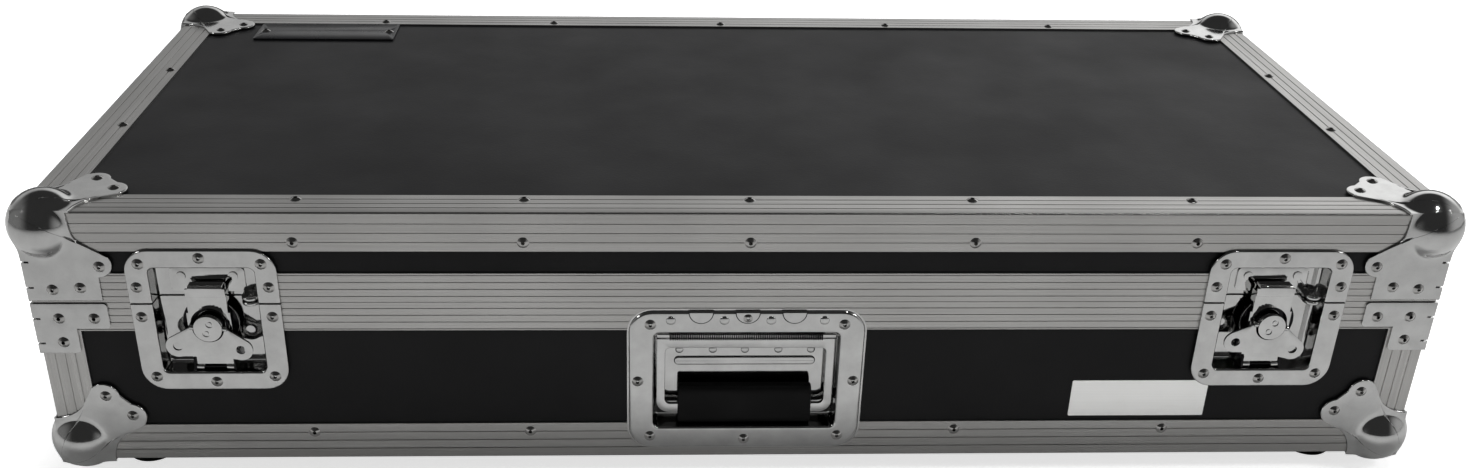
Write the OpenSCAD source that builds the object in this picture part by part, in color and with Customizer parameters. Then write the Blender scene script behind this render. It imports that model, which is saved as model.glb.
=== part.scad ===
// Flight case for a guitarist's pedals: a laminated plywood box in ribbed aluminium
// edging, with a hinged lid, two butterfly latches, a sprung bail handle and a
// carpeted board that lifts out of the foam lined base.
// Millimetres. X runs along the front, the front faces -Y, Z is up, and the origin is
// on the floor under the middle of the case.

/* [Case] */
// Width over the edge angles
case_w = 1016; // [900:1:1300]
// Depth over the edge angles
case_d = 459; // [380:1:620]
// Height over the edge angles, without feet
case_h = 203.5; // [190:0.5:280]
// Height of the lid, from the seam to the top
lid_h = 70.5; // [68:0.5:90]
// Thickness of the plywood panels
panel_t = 9; // [8.5:0.5:12]
// Gap between the two rims when the lid is shut
seam_gap = 0.4; // [0.2:0.1:0.8]

/* [Edge angles] */
// Leg of the aluminium edge angle
angle_leg = 30; // [26:0.5:31]
// Wall of the aluminium edge angle
angle_t = 1.5; // [1.2:0.1:2]
// Radius of the angle's outer edge
angle_edge_r = 1.2; // [0.5:0.1:1.4]
// Distance from the outer edge to the first groove
rib_first = 8; // [6:0.5:9]
// Distance from groove to groove
rib_pitch = 7.2; // [6:0.1:7.4]
// Width of a groove
rib_w = 0.9; // [0.5:0.1:1.2]
// Depth of a groove
rib_depth = 0.5; // [0.3:0.1:0.7]

/* [Seam rims] */
// Height of a rim's outer leg
rim_leg = 22.8; // [21:0.2:24]
// Height of a rim's inner leg
rim_inner_leg = 14; // [10:0.5:20]
// Height of the closed part of a rim, above the panel's edge
rim_cap = 7; // [6.5:0.5:9]
// Wall of a rim's legs
rim_t = 1.5; // [1.2:0.1:2]
// Distance from groove to groove on a rim
rim_rib_pitch = 5.6; // [4:0.1:5.6]
// Width of the channel in the base rim
channel_w = 5; // [4.6:0.1:5.4]
// Depth of the channel in the base rim
channel_depth = 5.5; // [4.6:0.1:6]
// Distance from the outer face to the channel
channel_in = 3.5; // [3:0.1:4]
// Thickness of the lid's tongue
tongue_t = 2.8; // [2:0.1:3]
// Height of the lid's tongue below its rim
tongue_h = 4; // [3:0.1:4.2]

/* [Ball corners] */
// Radius of the pressed ball
ball_r = 25; // [22:0.5:27]
// Distance of the ball's centre inside each face
ball_in = 14; // [11:0.5:16]
// Thickness of the pressed corner plates
plate_t = 1.4; // [1:0.1:1.8]
// Where the plate's outline leaves each edge of the case
plate_edge = 39; // [34:0.5:42]
// Long and short place of a lobe's rivet from the two edges
lobe_far = 56; // [52:0.5:60]
lobe_near = 39; // [36:0.5:42]
// Radius of a lobe
lobe_r = 11.4; // [10:0.2:13]

/* [Seam corners] */
// Width of the lid corner's long plate at the seam
lid_plate_w = 51.5; // [46:0.5:54]
// Length of the base brace along the seam
brace_w = 52; // [48:0.5:58]
// Height of the base brace's bar
brace_bar_h = 20; // [18:0.5:24]
// Width of the base brace's leg
brace_leg_w = 28; // [25:0.5:30]
// Height of the base brace over bar and leg
brace_h = 40; // [36:0.5:46]
// Length of a bend slot on each face of the case's corner
bend_slot_w = 4; // [2:0.5:8]
// Height of a bend slot
bend_slot_h = 1.5; // [0.8:0.1:2.5]
// Distance of the first bend slot from the seam
bend_slot_first = 12.5; // [8:0.5:16]
// Distance from bend slot to bend slot
bend_slot_pitch = 20; // [12:0.5:20]

/* [Rivets] */
// Radius of a rivet's head
rivet_head_r = 4.2; // [3.5:0.1:4.6]
// Height of a rivet's head
rivet_head_h = 1.6; // [1:0.1:2]
// Radius of a rivet's shank
rivet_r = 2.1; // [1.6:0.1:2.3]
// Depth of a rivet's shank below the case's face
rivet_depth = 7.5; // [5:0.5:8.5]
// Radius of the hole left in a rivet by its mandrel
rivet_hole_r = 1.35; // [0.8:0.05:1.4]
// Radial clearance of a shank in its hole
rivet_gap = 0.1; // [0.05:0.05:0.2]
// Distance of the front and rear angles' first rivet from the case's side
rivet_end_in = 187; // [150:0.5:200]
// Distance of the side angles' rivets from the case's front or rear
side_rivet_in = 164.5; // [120:0.5:175]
// Distance of an angle's rivets from the case's edge
rivet_in = 23; // [22:0.5:24]

/* [Latches] */
// Distance of a latch's middle from the case's side
latch_in = 121.4; // [114:0.2:160]
// Height of the latch hub over the bottom of the case
latch_z = 114.2; // [110.2:0.5:116.2]
// Width of a latch dish's flange
latch_w = 105.7; // [103:0.5:112]
// Height of a latch dish's flange
latch_h = 113.3; // [113:0.1:116]
// Height of the flange's lower edge below the hub
latch_drop = 52.3; // [51.2:0.1:54.2]
// Width of the latch dish's opening
latch_open_w = 74; // [73:0.5:76]
// Height of the latch dish's opening
latch_open_h = 84.5; // [84:0.5:86]
// Height of the opening's lower edge below the hub
latch_open_drop = 37.7; // [37.5:0.1:39.2]
// Depth of the latch dishes behind the case's face
latch_depth = 11.5; // [11.5:0.1:13]
// Sheet thickness of the dishes
dish_t = 1.2; // [1:0.1:1.5]
// Height of the dishes' rolled flange over the case's face
flange_rise = 2.2; // [1.6:0.1:2.6]
// Radius of the dishes' outer corners
flange_r = 17.6; // [12:0.2:20]
// Radius of the openings' corners
opening_r = 4.5; // [3:0.5:8]
// Gap between the upper and lower half of a latch dish
dish_split = 1.5; // [1:0.1:3]
// Radius of the hub's face
hub_r = 10; // [8:0.5:10.2]
// Radius of the black cam disc behind the hub
cam_r = 20; // [14:0.5:20.5]
// Radius of the hub's spindle
spindle_r = 4; // [3:0.1:5]
// Running clearance of pins and spindles
run_gap = 0.05; // [0.03:0.01:0.1]
// Lift of the claw over half a turn of the hub
claw_lift = 8; // [5:0.5:8]
// Width of the claw beside the hub
claw_w = 31; // [30.5:0.1:34]
// Width of the claw over its shoulders
claw_top_w = 28; // [26.6:0.1:29.6]
// Thickness of the claw
claw_t = 1.6; // [1.2:0.1:1.6]
// Width of the strike that the claw hooks over
strike_w = 24; // [18:0.5:25]
// Half the distance between the wing's two holes
wing_hole_x = 22.2; // [18:0.2:22.6]
// Height of the wing's holes below the hub
wing_hole_z = 16.3; // [13:0.1:17]
// Radius of the wing's rounded ends
wing_end_r = 8.5; // [6:0.1:9]
// Thickness of the wing
wing_t = 1.8; // [1.2:0.1:2]
// Clockwise turn of the left hub and wing at rest
left_turn = 4; // [0:0.5:10]
// Clockwise turn of the right hub and wing at rest
right_turn = 8; // [0:0.5:10]
// How far each padlock eye stands off the dish's floor
eye_reach = 12; // [7:0.1:13]

/* [Handle] */
// Width of the handle dish's flange
handle_w = 173.2; // [172:0.5:186]
// Height of the handle dish's flange
handle_h = 116.8; // [116:0.2:119]
// Height of the handle dish's middle over the bottom of the case
handle_z = 67.6; // [67:0.2:68.4]
// Width of the handle dish's opening
handle_open_w = 136.7; // [132:0.5:138]
// Height of the handle dish's opening
handle_open_h = 81.4; // [80:0.2:82.2]
// Depth of the handle dish
handle_depth = 14; // [13.5:0.1:16]
// Distance of the bail's rod below the opening's upper edge
rod_drop = 4.8; // [4.5:0.1:6]
// Radius of the bail's rod
rod_r = 2.4; // [1.6:0.1:2.4]
// Width of the bail's arms
bail_w = 6.5; // [5:0.1:8]
// Thickness of the bail's strap
bail_t = 3; // [2:0.1:3.4]
// Wall of the bail's barrel round the rod
barrel_t = 1.6; // [1.2:0.1:1.7]
// Width of the rubber grip
grip_w = 100; // [90:1:108]
// Height of the rubber grip
grip_h = 32.5; // [28:0.5:33]
// Thickness of the rubber grip
grip_t = 11.6; // [9:0.1:11.8]

/* [Hinges] */
// Distance of the outer hinges' middle from the case's side
hinge_in = 178; // [120:1:260]
// Width of a hinge
hinge_w = 70; // [50:1:90]
// Height of a hinge's leaf from the seam
leaf_h = 37; // [30:0.5:39]
// Thickness of a leaf
leaf_t = 1.8; // [1.4:0.1:2]
// Radius of a knuckle
knuckle_r = 4.5; // [3.8:0.1:4.6]
// Distance of the hinge's axis behind the case's rear face
hinge_out = 5.2; // [5.1:0.1:5.8]
// Radius of the hinge pins
hinge_pin_r = 2; // [1.4:0.1:2.4]

/* [Feet] */
// Height of the rubber feet
foot_h = 14; // [13.5:0.5:20]
// Radius of the rubber feet
foot_r = 18; // [15:0.5:19]
// Distance of a foot's centre from the case's side
foot_x = 54; // [52:0.5:80]
// Distance of a foot's centre from the case's front or rear
foot_y = 33; // [32:0.5:50]
// Radius of the recess for a foot's screw
foot_recess_r = 6.5; // [5.5:0.5:8]

/* [Lining] */
// Thickness of the foam on the base's walls and floor
foam_t = 10; // [8:0.5:15]
// Thickness of the foam under the lid's top
lid_foam_t = 20; // [12:0.5:24]
// Thickness of the foam on the lid's walls
lid_wall_foam_t = 10; // [8:0.5:15]

/* [Pedal board] */
// Thickness of the board
board_t = 9; // [8:0.5:12]
// Thickness of the carpet on the board
carpet_t = 2.5; // [2:0.1:4]
// Clear height of the cleats under the board
cleat_h = 34; // [20:0.5:40]
// Width of a cleat
cleat_w = 20; // [15:0.5:30]
// Clearance between the board and the foam
board_gap = 3; // [2:0.5:6]
// Width of a finger slot
slot_w = 100; // [80:1:130]
// Height of a finger slot
slot_h = 28; // [24:0.5:36]
// Distance of each finger slot's middle from the board's end
slot_in = 60; // [35:1:90]

/* [Plates] */
// Width of the bare badge plate on the lid
badge_w = 128.5; // [100:0.5:150]
// Depth of the badge plate
badge_d = 46; // [35:0.5:60]
// Distance of the badge plate from the lid's left side
badge_x = 73; // [70:0.5:120]
// Width of the bare label on the front
label_w = 104; // [70:0.5:120]
// Height of the label
label_h = 31; // [20:0.5:40]
// Distance of the label's middle from the right latch's middle
label_in = 87.6; // [86:0.2:120]
// Height of the label's middle over the bottom of the case
label_z = 49.5; // [46:0.5:58]

/* [Hidden] */
$fn = 48;

cut = 1;                                  // how far a cutting tool runs past a face
fit = 0.3;                                // clearance of a cut-out round what it takes
hx = case_w / 2;                          // half width and half depth of the case
hy = case_d / 2;
z_low = foot_h;                           // underside, seam and top of the case
z_seam = foot_h + case_h - lid_h;
z_top = foot_h + case_h;
half_gap = seam_gap / 2;
latch_x = hx - latch_in;
hinge_x = hx - hinge_in;
rivet_pitch = (hx - rivet_end_in) / 2;    // two rivets each side of the middle one
side_rivet_y = hy - side_rivet_in;
inner = angle_t + panel_t;                // the panels' inner faces, from the outer face
rim_w = inner + rim_t;
rim_rib_first = (rim_leg - 3 * rim_rib_pitch) / 2 + 1.2;
tongue_in = channel_in + 0.8;             // the lid swings its rear tongue inwards
rear_play = 0.4;

hub_z = z_low + latch_z;
latch_y = -hy + latch_depth;              // the latch dishes' floor
latch_flange_z = latch_h / 2 - latch_drop;      // the flange's and the opening's
latch_open_z = latch_open_h / 2 - latch_open_drop;  // middle, from the hub
seam_up = z_seam - hub_z;                 // the seam, from the hub

// Distances off the latch dish's floor, where each layer of the latch starts
driver_off = 0.3;
driver_t = 1.8;
cam_off = 5.5;
cam_t = 1.5;
drum_off = cam_off + cam_t;
drum_t = 10.3;
claw_off = 9.2;
wing_pin_off = 15;
wing_pin_r = 1.2;
wing_loop_r = 2;
wing_loop_w = 2.6;
claw_pin_off = claw_off + claw_t / 2;
claw_pin_r = 1.2;
claw_loop_r = 2.3;
claw_pin_z = -latch_open_drop + claw_loop_r + 1;
ear_t = 1.5;
ear_x = claw_w / 2 - ear_t - 0.5;         // inner face of the driver's ears
ear_top = claw_pin_z + claw_loop_r + 5;
loop_w = 5;
hook_low = seam_up + 10.5;                // underside of the claw's hook
hook_t = 2;
hook_in = 3.6;                            // how near the floor the unhooked tip stands
claw_step = 0.8;                          // the claw's upper part lies this much further out
window_r = hub_r + 3.5;
strike_h = 7;
strike_reach = 3.2;
strike_plate_t = 1.2;
eye_t = 2.4;
eye_w = 13;
eye_hole_r = 2.6;

handle_mid_z = z_low + handle_z;
rod_z = handle_mid_z + handle_open_h / 2 - rod_drop;
rod_y = -hy + 6;                          // the rod lies behind the case's face
bail_x = handle_open_w / 2 - 2.2 - bail_w;      // inner face of the bail's arms
grip_low = handle_mid_z - handle_open_h / 2 + 1.1;
grip_mid = grip_low + grip_h / 2;
bar_low = grip_low + 8;                   // the bail's bar inside the grip
bar_h = 8;

knuckles = 5;
knuckle_w = hinge_w / knuckles;
leaf_in = hinge_out;                      // the leaves stop this far from the seam

floor_z = z_low + inner;                  // inner faces of base floor and lid top
roof_z = z_top - inner;
wall_in = inner + foam_t;                 // the base foam's inner faces, from outside
board_z = floor_z + cleat_h;
board_x = hx - wall_in - board_gap;
board_y = hy - wall_in - board_gap;
board_top = board_z + board_t;
foam_top = z_seam - half_gap - rim_inner_leg - fit;
lid_foam_low = z_seam + half_gap + rim_inner_leg + fit;

black = [0.09, 0.09, 0.095];
silver = [0.66, 0.66, 0.65];
chrome = [0.8, 0.8, 0.82];
dark = [0.05, 0.05, 0.05];
felt = [0.2, 0.2, 0.21];
timber = [0.66, 0.52, 0.36];

// ---------- rivets: lists of [across, up, seat], the seat being the height off the face

// Rivets of a lobed corner plate, from the corner
lobe_rivets = [[lobe_far, lobe_near], [lobe_near, lobe_far]];
// Rivets of the lid's long plate, from the corner and down from the top
long_rivets = [[51.9, 41.4], [16.7, lid_h - 11], [36.1, lid_h - 12.5]];
// Rivets of the base brace, from the corner and down from the seam
brace_rivets = [[17, 12.1], [41.7, 12.2], [17, 31.5]];
// Rivets of a latch dish, from the hub
latch_side = latch_w / 2 - 6.8;
lower_latch_rivets = [[-latch_side, seam_up - 10.6], [latch_side, seam_up - 10.6],
                      [-latch_side + 3.5, -latch_drop + 11.1],
                      [latch_side - 3.5, -latch_drop + 11.1], [0, -latch_drop + 6.7]];
upper_latch_rivets = [[-latch_side, seam_up + 13.2], [latch_side, seam_up + 13.2],
                      [-latch_side + 3.5, latch_h - latch_drop - 10.6],
                      [latch_side - 3.5, latch_h - latch_drop - 10.6],
                      [0, latch_h - latch_drop - 6]];
// Rivets of the handle dish, from its middle
handle_rivet_x = handle_w / 2 - 15.8;
handle_rivet_z = handle_h / 2 - 10.5;
handle_rivets = [[-handle_rivet_x, handle_rivet_z], [handle_rivet_x, handle_rivet_z],
                 [0, handle_h / 2 - 5], [-handle_w / 2 + 6.6, 0], [handle_w / 2 - 6.6, 0],
                 [-handle_rivet_x, -handle_rivet_z], [handle_rivet_x, -handle_rivet_z],
                 [0, -handle_h / 2 + 7.5]];

function on_corner(pts, z, up, seat) = [for (p = pts, s = [-1, 1]) [s * (hx - p[0]), z + up * p[1], seat]];
function on_side_corner(pts, z, up, seat) = [for (p = pts, s = [-1, 1]) [s * (hy - p[0]), z + up * p[1], seat]];
function along(steps, z) = [for (k = steps) [k * rivet_pitch, z, 0]];
function at_latches(pts) = [for (p = pts, s = [-1, 1]) [s * latch_x + p[0], hub_z + p[1], flange_rise]];
function at_hinges(z) = [for (x = [-hinge_x, 0, hinge_x], s = [-1, 0, 1]) [x + s * hinge_w / 3, z, leaf_t]];

base_end_rivets = concat(on_corner(lobe_rivets, z_low, 1, plate_t),
                         on_corner(brace_rivets, z_seam, -1, plate_t));
base_front_rivets = concat(base_end_rivets, along([-2, -1, 1, 2], z_low + rivet_in),
                           at_latches(lower_latch_rivets),
                           [for (p = handle_rivets) [p[0], handle_mid_z + p[1], flange_rise]]);
base_rear_rivets = concat(base_end_rivets, along([-2, -1, 0, 1, 2], z_low + rivet_in),
                          at_hinges(z_seam - leaf_h + 8));
base_side_rivets = concat(on_side_corner(lobe_rivets, z_low, 1, plate_t),
                          on_side_corner(brace_rivets, z_seam, -1, plate_t),
                          [for (s = [-1, 1]) [s * side_rivet_y, z_low + rivet_in, 0]]);
base_under_rivets = concat([for (k = [-2:2], s = [-1, 1]) [k * rivet_pitch, s * (hy - rivet_in), 0]],
                           [for (s = [-1, 1], t = [-1, 1]) [s * (hx - rivet_in), t * side_rivet_y, 0]]);
foot_places = [for (s = [-1, 1], t = [-1, 1]) [s * (hx - foot_x), t * (hy - foot_y), 0]];

lid_end_rivets = on_corner(long_rivets, z_top, -1, plate_t);
lid_front_rivets = concat(lid_end_rivets, along([-2, -1, 0, 1, 2], z_top - rivet_in),
                          at_latches(upper_latch_rivets));
lid_rear_rivets = concat(lid_end_rivets, along([-2, -1, 0, 1, 2], z_top - rivet_in),
                         at_hinges(z_seam + leaf_h - 8));
lid_side_rivets = concat(on_side_corner(long_rivets, z_top, -1, plate_t),
                         [for (s = [-1, 1]) [s * side_rivet_y, z_top - rivet_in, 0]]);
badge_mid = [-hx + badge_x + badge_w / 2, hy - angle_leg - 1 - badge_d / 2];
badge_rivets = [for (s = [-1, 1]) [badge_mid[0] + s * (badge_w / 2 - 7), badge_mid[1], 0.2]];
lid_top_rivets = concat([for (k = [-2:2], s = [-1, 1]) [k * rivet_pitch, s * (hy - rivet_in), 0]],
                        [for (s = [-1, 1], t = [-1, 1]) [s * (hx - rivet_in), t * side_rivet_y, 0]],
                        [for (p = lobe_rivets, s = [-1, 1], t = [-1, 1])
                            [s * (hx - p[0]), t * (hy - p[1]), plate_t]]);

module rivet(seat) {
    difference() {
        union() {
            translate([0, 0, seat])
                rotate_extrude() intersection() {
                    dome_r = (rivet_head_r * rivet_head_r + rivet_head_h * rivet_head_h) / (2 * rivet_head_h);
                    translate([0, rivet_head_h - dome_r]) circle(dome_r);
                    square([rivet_head_r, rivet_head_h]);
                }
            translate([0, 0, -rivet_depth]) cylinder(r = rivet_r, h = rivet_depth + seat + 0.2);
        }
        translate([0, 0, -rivet_depth / 2]) cylinder(r = rivet_hole_r, h = rivet_depth + seat + rivet_head_h);
    }
}

module rivet_bore() {
    translate([0, 0, -rivet_depth - fit]) cylinder(r = rivet_r + rivet_gap, h = rivet_depth + 2 * angle_leg);
}

module on_front(pts) for (p = pts) translate([p[0], -hy, p[1]]) rotate([90, 0, 0]) children();
module on_rear(pts) mirror([0, 1, 0]) on_front(pts) children();
module on_left(pts) for (p = pts) translate([-hx, p[0], p[1]]) rotate([0, -90, 0]) children();
module on_right(pts) mirror([1, 0, 0]) on_left(pts) children();
module on_top(pts) for (p = pts) translate([p[0], p[1], z_top]) children();
module on_under(pts) for (p = pts) translate([p[0], p[1], z_low]) rotate([180, 0, 0]) children();

module rivets_on(side, pts) {
    for (p = pts)
        if (side == "front") on_front([p]) rivet(p[2]);
        else if (side == "rear") on_rear([p]) rivet(p[2]);
        else if (side == "left") on_left([p]) rivet(p[2]);
        else if (side == "right") on_right([p]) rivet(p[2]);
        else if (side == "top") on_top([p]) rivet(p[2]);
        else on_under([p]) rivet(p[2]);
}

// ---------- shared shapes

// A rectangle with round corners, centred
module round_plate(w, h, r) {
    square([w - 2 * r, h], center = true);
    square([w, h - 2 * r], center = true);
    for (sx = [-1, 1], sy = [-1, 1]) translate([sx * (w / 2 - r), sy * (h / 2 - r)]) circle(r);
}

// A rectangle standing on y = 0 with round lower corners
module round_foot(w, h, r) {
    translate([-w / 2, r]) square([w, h - r]);
    translate([-w / 2 + r, 0]) square([w - 2 * r, 2 * r]);
    for (s = [-1, 1]) translate([s * (w / 2 - r), r]) circle(r);
}

// Section of an edge angle, its outer corner at the origin
module angle_section() {
    difference() {
        square(angle_leg);
        translate([angle_t, angle_t]) square(angle_leg);
        difference() {
            translate([-cut, -cut]) square(angle_edge_r + cut);
            translate([angle_edge_r, angle_edge_r]) circle(angle_edge_r);
        }
        for (k = [0:2]) {
            translate([rib_first + k * rib_pitch, -cut]) square([rib_w, rib_depth + cut]);
            translate([-cut, rib_first + k * rib_pitch]) square([rib_depth + cut, rib_w]);
        }
    }
}

// Section of a rim, its outer face at x = 0 and its mating face at y = 0
module rim_section(has_tongue, play) {
    difference() {
        union() {
            square([rim_t, rim_leg]);
            square([rim_w, rim_cap]);
            translate([rim_w - rim_t, 0]) square([rim_t, rim_inner_leg]);
            if (has_tongue) translate([tongue_in - play, -tongue_h]) square([tongue_t, tongue_h + cut]);
        }
        if (!has_tongue) translate([channel_in, -cut]) square([channel_w, channel_depth + cut]);
        for (k = [0:3])
            translate([-cut, rim_rib_first + k * rim_rib_pitch]) square([rib_depth + cut, rib_w]);
    }
}

// Runs a section along X on the front edge, or along Y on the left edge, with its
// corner at the case's outer corner
module along_front() translate([0, -hy, 0]) rotate([90, 0, 90]) linear_extrude(case_w, center = true) children();
module along_left() translate([-hx, 0, 0]) rotate([90, 0, 0]) linear_extrude(case_d, center = true) children();

// What a mitre leaves of a bar on the front or the left edge
module front_mitre() {
    m = angle_leg + rim_w;
    translate([0, 0, -cut]) linear_extrude(z_top + 2 * cut)
        polygon([[-hx, -hy], [hx, -hy], [hx - m, -hy + m], [-hx + m, -hy + m]]);
}
module left_mitre() {
    m = angle_leg + rim_w;
    translate([0, 0, -cut]) linear_extrude(z_top + 2 * cut)
        polygon([[-hx, -hy], [-hx + m, -hy + m], [-hx + m, hy - m], [-hx, hy]]);
}

module low_edge() translate([0, 0, z_low]) children();
module high_edge() translate([0, 0, z_top]) mirror([0, 0, 1]) children();

// Places a corner piece, drawn at the front left corner, at all four corners
module four_corners() {
    for (mx = [0, 1], my = [0, 1]) mirror([mx, 0, 0]) mirror([0, my, 0]) children();
}

// ---------- panels

module upright_panel(low, high, along_x) {
    if (along_x) translate([-hx + angle_t, -hy + angle_t, low]) cube([case_w - 2 * angle_t, panel_t, high - low]);
    else translate([-hx + angle_t, -hy + inner, low]) cube([panel_t, case_d - 2 * inner, high - low]);
}
module base_upright(along_x) upright_panel(z_low + inner, z_seam - half_gap - rim_cap, along_x);
module lid_upright(along_x) upright_panel(z_seam + half_gap + rim_cap, z_top - inner, along_x);

// The holes that the two latch dishes and the handle dish need through the front
module latch_holes(low, high) {
    for (s = [-1, 1])
        translate([s * latch_x - latch_open_w / 2 - dish_t - fit, -hy - cut, low])
            cube([latch_open_w + 2 * (dish_t + fit), inner + 2 * angle_leg, high - low]);
}
module base_latch_holes() latch_holes(hub_z - latch_open_drop - dish_t - fit, z_seam + cut);
module lid_latch_holes() latch_holes(z_seam - tongue_h - cut, hub_z + latch_open_h - latch_open_drop + dish_t + fit);
module handle_hole() {
    w = handle_open_w + 2 * (dish_t + fit);
    h = handle_open_h + 2 * (dish_t + fit);
    translate([-w / 2, -hy - cut, handle_mid_z - h / 2]) cube([w, inner + 2 * angle_leg, h]);
}

module base_bottom_panel() {
    color(black) difference() {
        translate([-hx + angle_t, -hy + angle_t, z_low + angle_t])
            cube([case_w - 2 * angle_t, case_d - 2 * angle_t, panel_t]);
        on_under(concat(base_under_rivets, foot_places)) rivet_bore();
    }
}
module base_front_panel() {
    color(black) difference() {
        base_upright(true);
        base_latch_holes();
        handle_hole();
        on_front(base_front_rivets) rivet_bore();
    }
}
module base_rear_panel() {
    color(black) difference() {
        mirror([0, 1, 0]) base_upright(true);
        on_rear(base_rear_rivets) rivet_bore();
    }
}
module base_left_panel() {
    color(black) difference() {
        base_upright(false);
        on_left(base_side_rivets) rivet_bore();
    }
}
module base_right_panel() mirror([1, 0, 0]) base_left_panel();

module lid_top_panel() {
    color(black) difference() {
        translate([-hx + angle_t, -hy + angle_t, z_top - inner])
            cube([case_w - 2 * angle_t, case_d - 2 * angle_t, panel_t]);
        on_top(concat(lid_top_rivets, badge_rivets)) rivet_bore();
    }
}
module lid_front_panel() {
    color(black) difference() {
        lid_upright(true);
        lid_latch_holes();
        on_front(lid_front_rivets) rivet_bore();
    }
}
module lid_rear_panel() {
    color(black) difference() {
        mirror([0, 1, 0]) lid_upright(true);
        on_rear(lid_rear_rivets) rivet_bore();
    }
}
module lid_left_panel() {
    color(black) difference() {
        lid_upright(false);
        on_left(lid_side_rivets) rivet_bore();
    }
}
module lid_right_panel() mirror([1, 0, 0]) lid_left_panel();

// ---------- aluminium edging

module front_angle() intersection() { along_front() angle_section(); front_mitre(); }
module left_angle() intersection() { along_left() angle_section(); left_mitre(); }

module base_edge_front() {
    color(silver) difference() {
        low_edge() front_angle();
        handle_hole();
        on_front(base_front_rivets) rivet_bore();
        on_under(concat(base_under_rivets, foot_places)) rivet_bore();
    }
}
module base_edge_rear() {
    color(silver) difference() {
        low_edge() mirror([0, 1, 0]) front_angle();
        on_rear(base_rear_rivets) rivet_bore();
        on_under(concat(base_under_rivets, foot_places)) rivet_bore();
    }
}
module base_edge_left() {
    color(silver) difference() {
        low_edge() left_angle();
        on_left(base_side_rivets) rivet_bore();
        on_under(base_under_rivets) rivet_bore();
    }
}
module base_edge_right() mirror([1, 0, 0]) base_edge_left();

module lid_edge_front() {
    color(silver) difference() {
        high_edge() front_angle();
        on_front(lid_front_rivets) rivet_bore();
        on_top(lid_top_rivets) rivet_bore();
    }
}
module lid_edge_rear() {
    color(silver) difference() {
        high_edge() mirror([0, 1, 0]) front_angle();
        on_rear(lid_rear_rivets) rivet_bore();
        on_top(lid_top_rivets) rivet_bore();
    }
}
module lid_edge_left() {
    color(silver) difference() {
        high_edge() left_angle();
        on_left(lid_side_rivets) rivet_bore();
        on_top(lid_top_rivets) rivet_bore();
    }
}
module lid_edge_right() mirror([1, 0, 0]) lid_edge_left();

module base_corner_angles() {
    low = z_low + angle_leg;
    color(silver) difference() {
        four_corners() translate([-hx, -hy, low])
            linear_extrude(z_seam - half_gap - rim_leg - low) angle_section();
        on_front(base_end_rivets) rivet_bore();
        on_rear(base_end_rivets) rivet_bore();
        on_left(base_side_rivets) rivet_bore();
        on_right(base_side_rivets) rivet_bore();
    }
}

module front_rim(has_tongue, play = 0) intersection() { along_front() rim_section(has_tongue, play); front_mitre(); }
module left_rim(has_tongue) intersection() { along_left() rim_section(has_tongue, 0); left_mitre(); }
module base_rim_place() translate([0, 0, z_seam - half_gap]) mirror([0, 0, 1]) children();
module lid_rim_place() translate([0, 0, z_seam + half_gap]) children();

module base_rim_front() {
    color(silver) difference() {
        base_rim_place() front_rim(false);
        base_latch_holes();
        on_front(base_front_rivets) rivet_bore();
    }
}
module base_rim_rear() {
    color(silver) difference() {
        mirror([0, 1, 0]) base_rim_place() front_rim(false);
        on_rear(base_rear_rivets) rivet_bore();
    }
}
module base_rim_left() {
    color(silver) difference() {
        base_rim_place() left_rim(false);
        on_left(base_side_rivets) rivet_bore();
    }
}
module base_rim_right() mirror([1, 0, 0]) base_rim_left();

module lid_rim_front() {
    color(silver) difference() {
        lid_rim_place() front_rim(true);
        lid_latch_holes();
        on_front(lid_front_rivets) rivet_bore();
    }
}
module lid_rim_rear() {
    color(silver) difference() {
        mirror([0, 1, 0]) lid_rim_place() front_rim(true, rear_play);
        on_rear(lid_rear_rivets) rivet_bore();
    }
}
module lid_rim_left() {
    color(silver) difference() {
        lid_rim_place() left_rim(true);
        on_left(lid_side_rivets) rivet_bore();
    }
}
module lid_rim_right() mirror([1, 0, 0]) lid_rim_left();

// ---------- corner hardware

// A hollow between an edge at u = u0 and a lobe at [lobe_u, lobe_v]: the circle that
// leaves the edge there and touches the lobe from outside
function neck_r(du, dv, r) = (du * du + dv * dv - r * r) / (2 * (dv + r));

// Outline of the lobed plate, from the corner along the two edges
module lobed_outline() {
    start = 1.5;
    r = neck_r(lobe_near - start, lobe_far - plate_edge, lobe_r);
    reach = [lobe_near, lobe_far] - [start, plate_edge + r];
    touch = [start, plate_edge + r] + reach * r / norm(reach);
    crotch = lobe_r * 0.57;
    difference() {
        union() {
            polygon([[-plate_t, -plate_t], [plate_edge, -plate_t], [plate_edge, start], [touch[1], touch[0]],
                     [lobe_far + crotch, lobe_near + crotch], [lobe_near + crotch, lobe_far + crotch],
                     touch, [start, plate_edge], [-plate_t, plate_edge]]);
            for (p = lobe_rivets) translate(p) circle(lobe_r);
        }
        translate([start, plate_edge + r]) circle(r);
        translate([plate_edge + r, start]) circle(r);
    }
}

// Outline of the lid corner's long plate, from the corner and down from the top
module long_outline() {
    top_w = 36.5;
    start = 10.6;
    lobe = long_rivets[0];
    end_r = 10.1;
    end = lid_h - half_gap - fit;
    r = neck_r(lobe[1] - start, lobe[0] - top_w, end_r);
    reach = lobe - [top_w + r, start];
    touch = [top_w + r, start] + reach * r / norm(reach);
    difference() {
        union() {
            polygon([[-plate_t, -plate_t], [top_w, -plate_t], [top_w, start], touch, lobe,
                     [lid_plate_w, lobe[1] + end_r + 2.5], [lid_plate_w, end], [-plate_t, end]]);
            translate(lobe) circle(end_r);
            translate([lobe[0] - end_r, lobe[1]]) square([end_r * 1.75, end_r * 0.7]);
        }
        translate([top_w + r, start]) circle(r);
    }
}

// Puts an outline, drawn from the corner, on the front, the left and the level face
module front_plate() translate([-hx, -hy, 0]) rotate([90, 0, 0]) linear_extrude(plate_t) children();
module left_plate() translate([-hx, -hy, 0]) mirror([1, 0, 0]) rotate([90, 0, 90]) linear_extrude(plate_t) children();
module level_plate() translate([-hx, -hy, -plate_t]) linear_extrude(plate_t) children();

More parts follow.
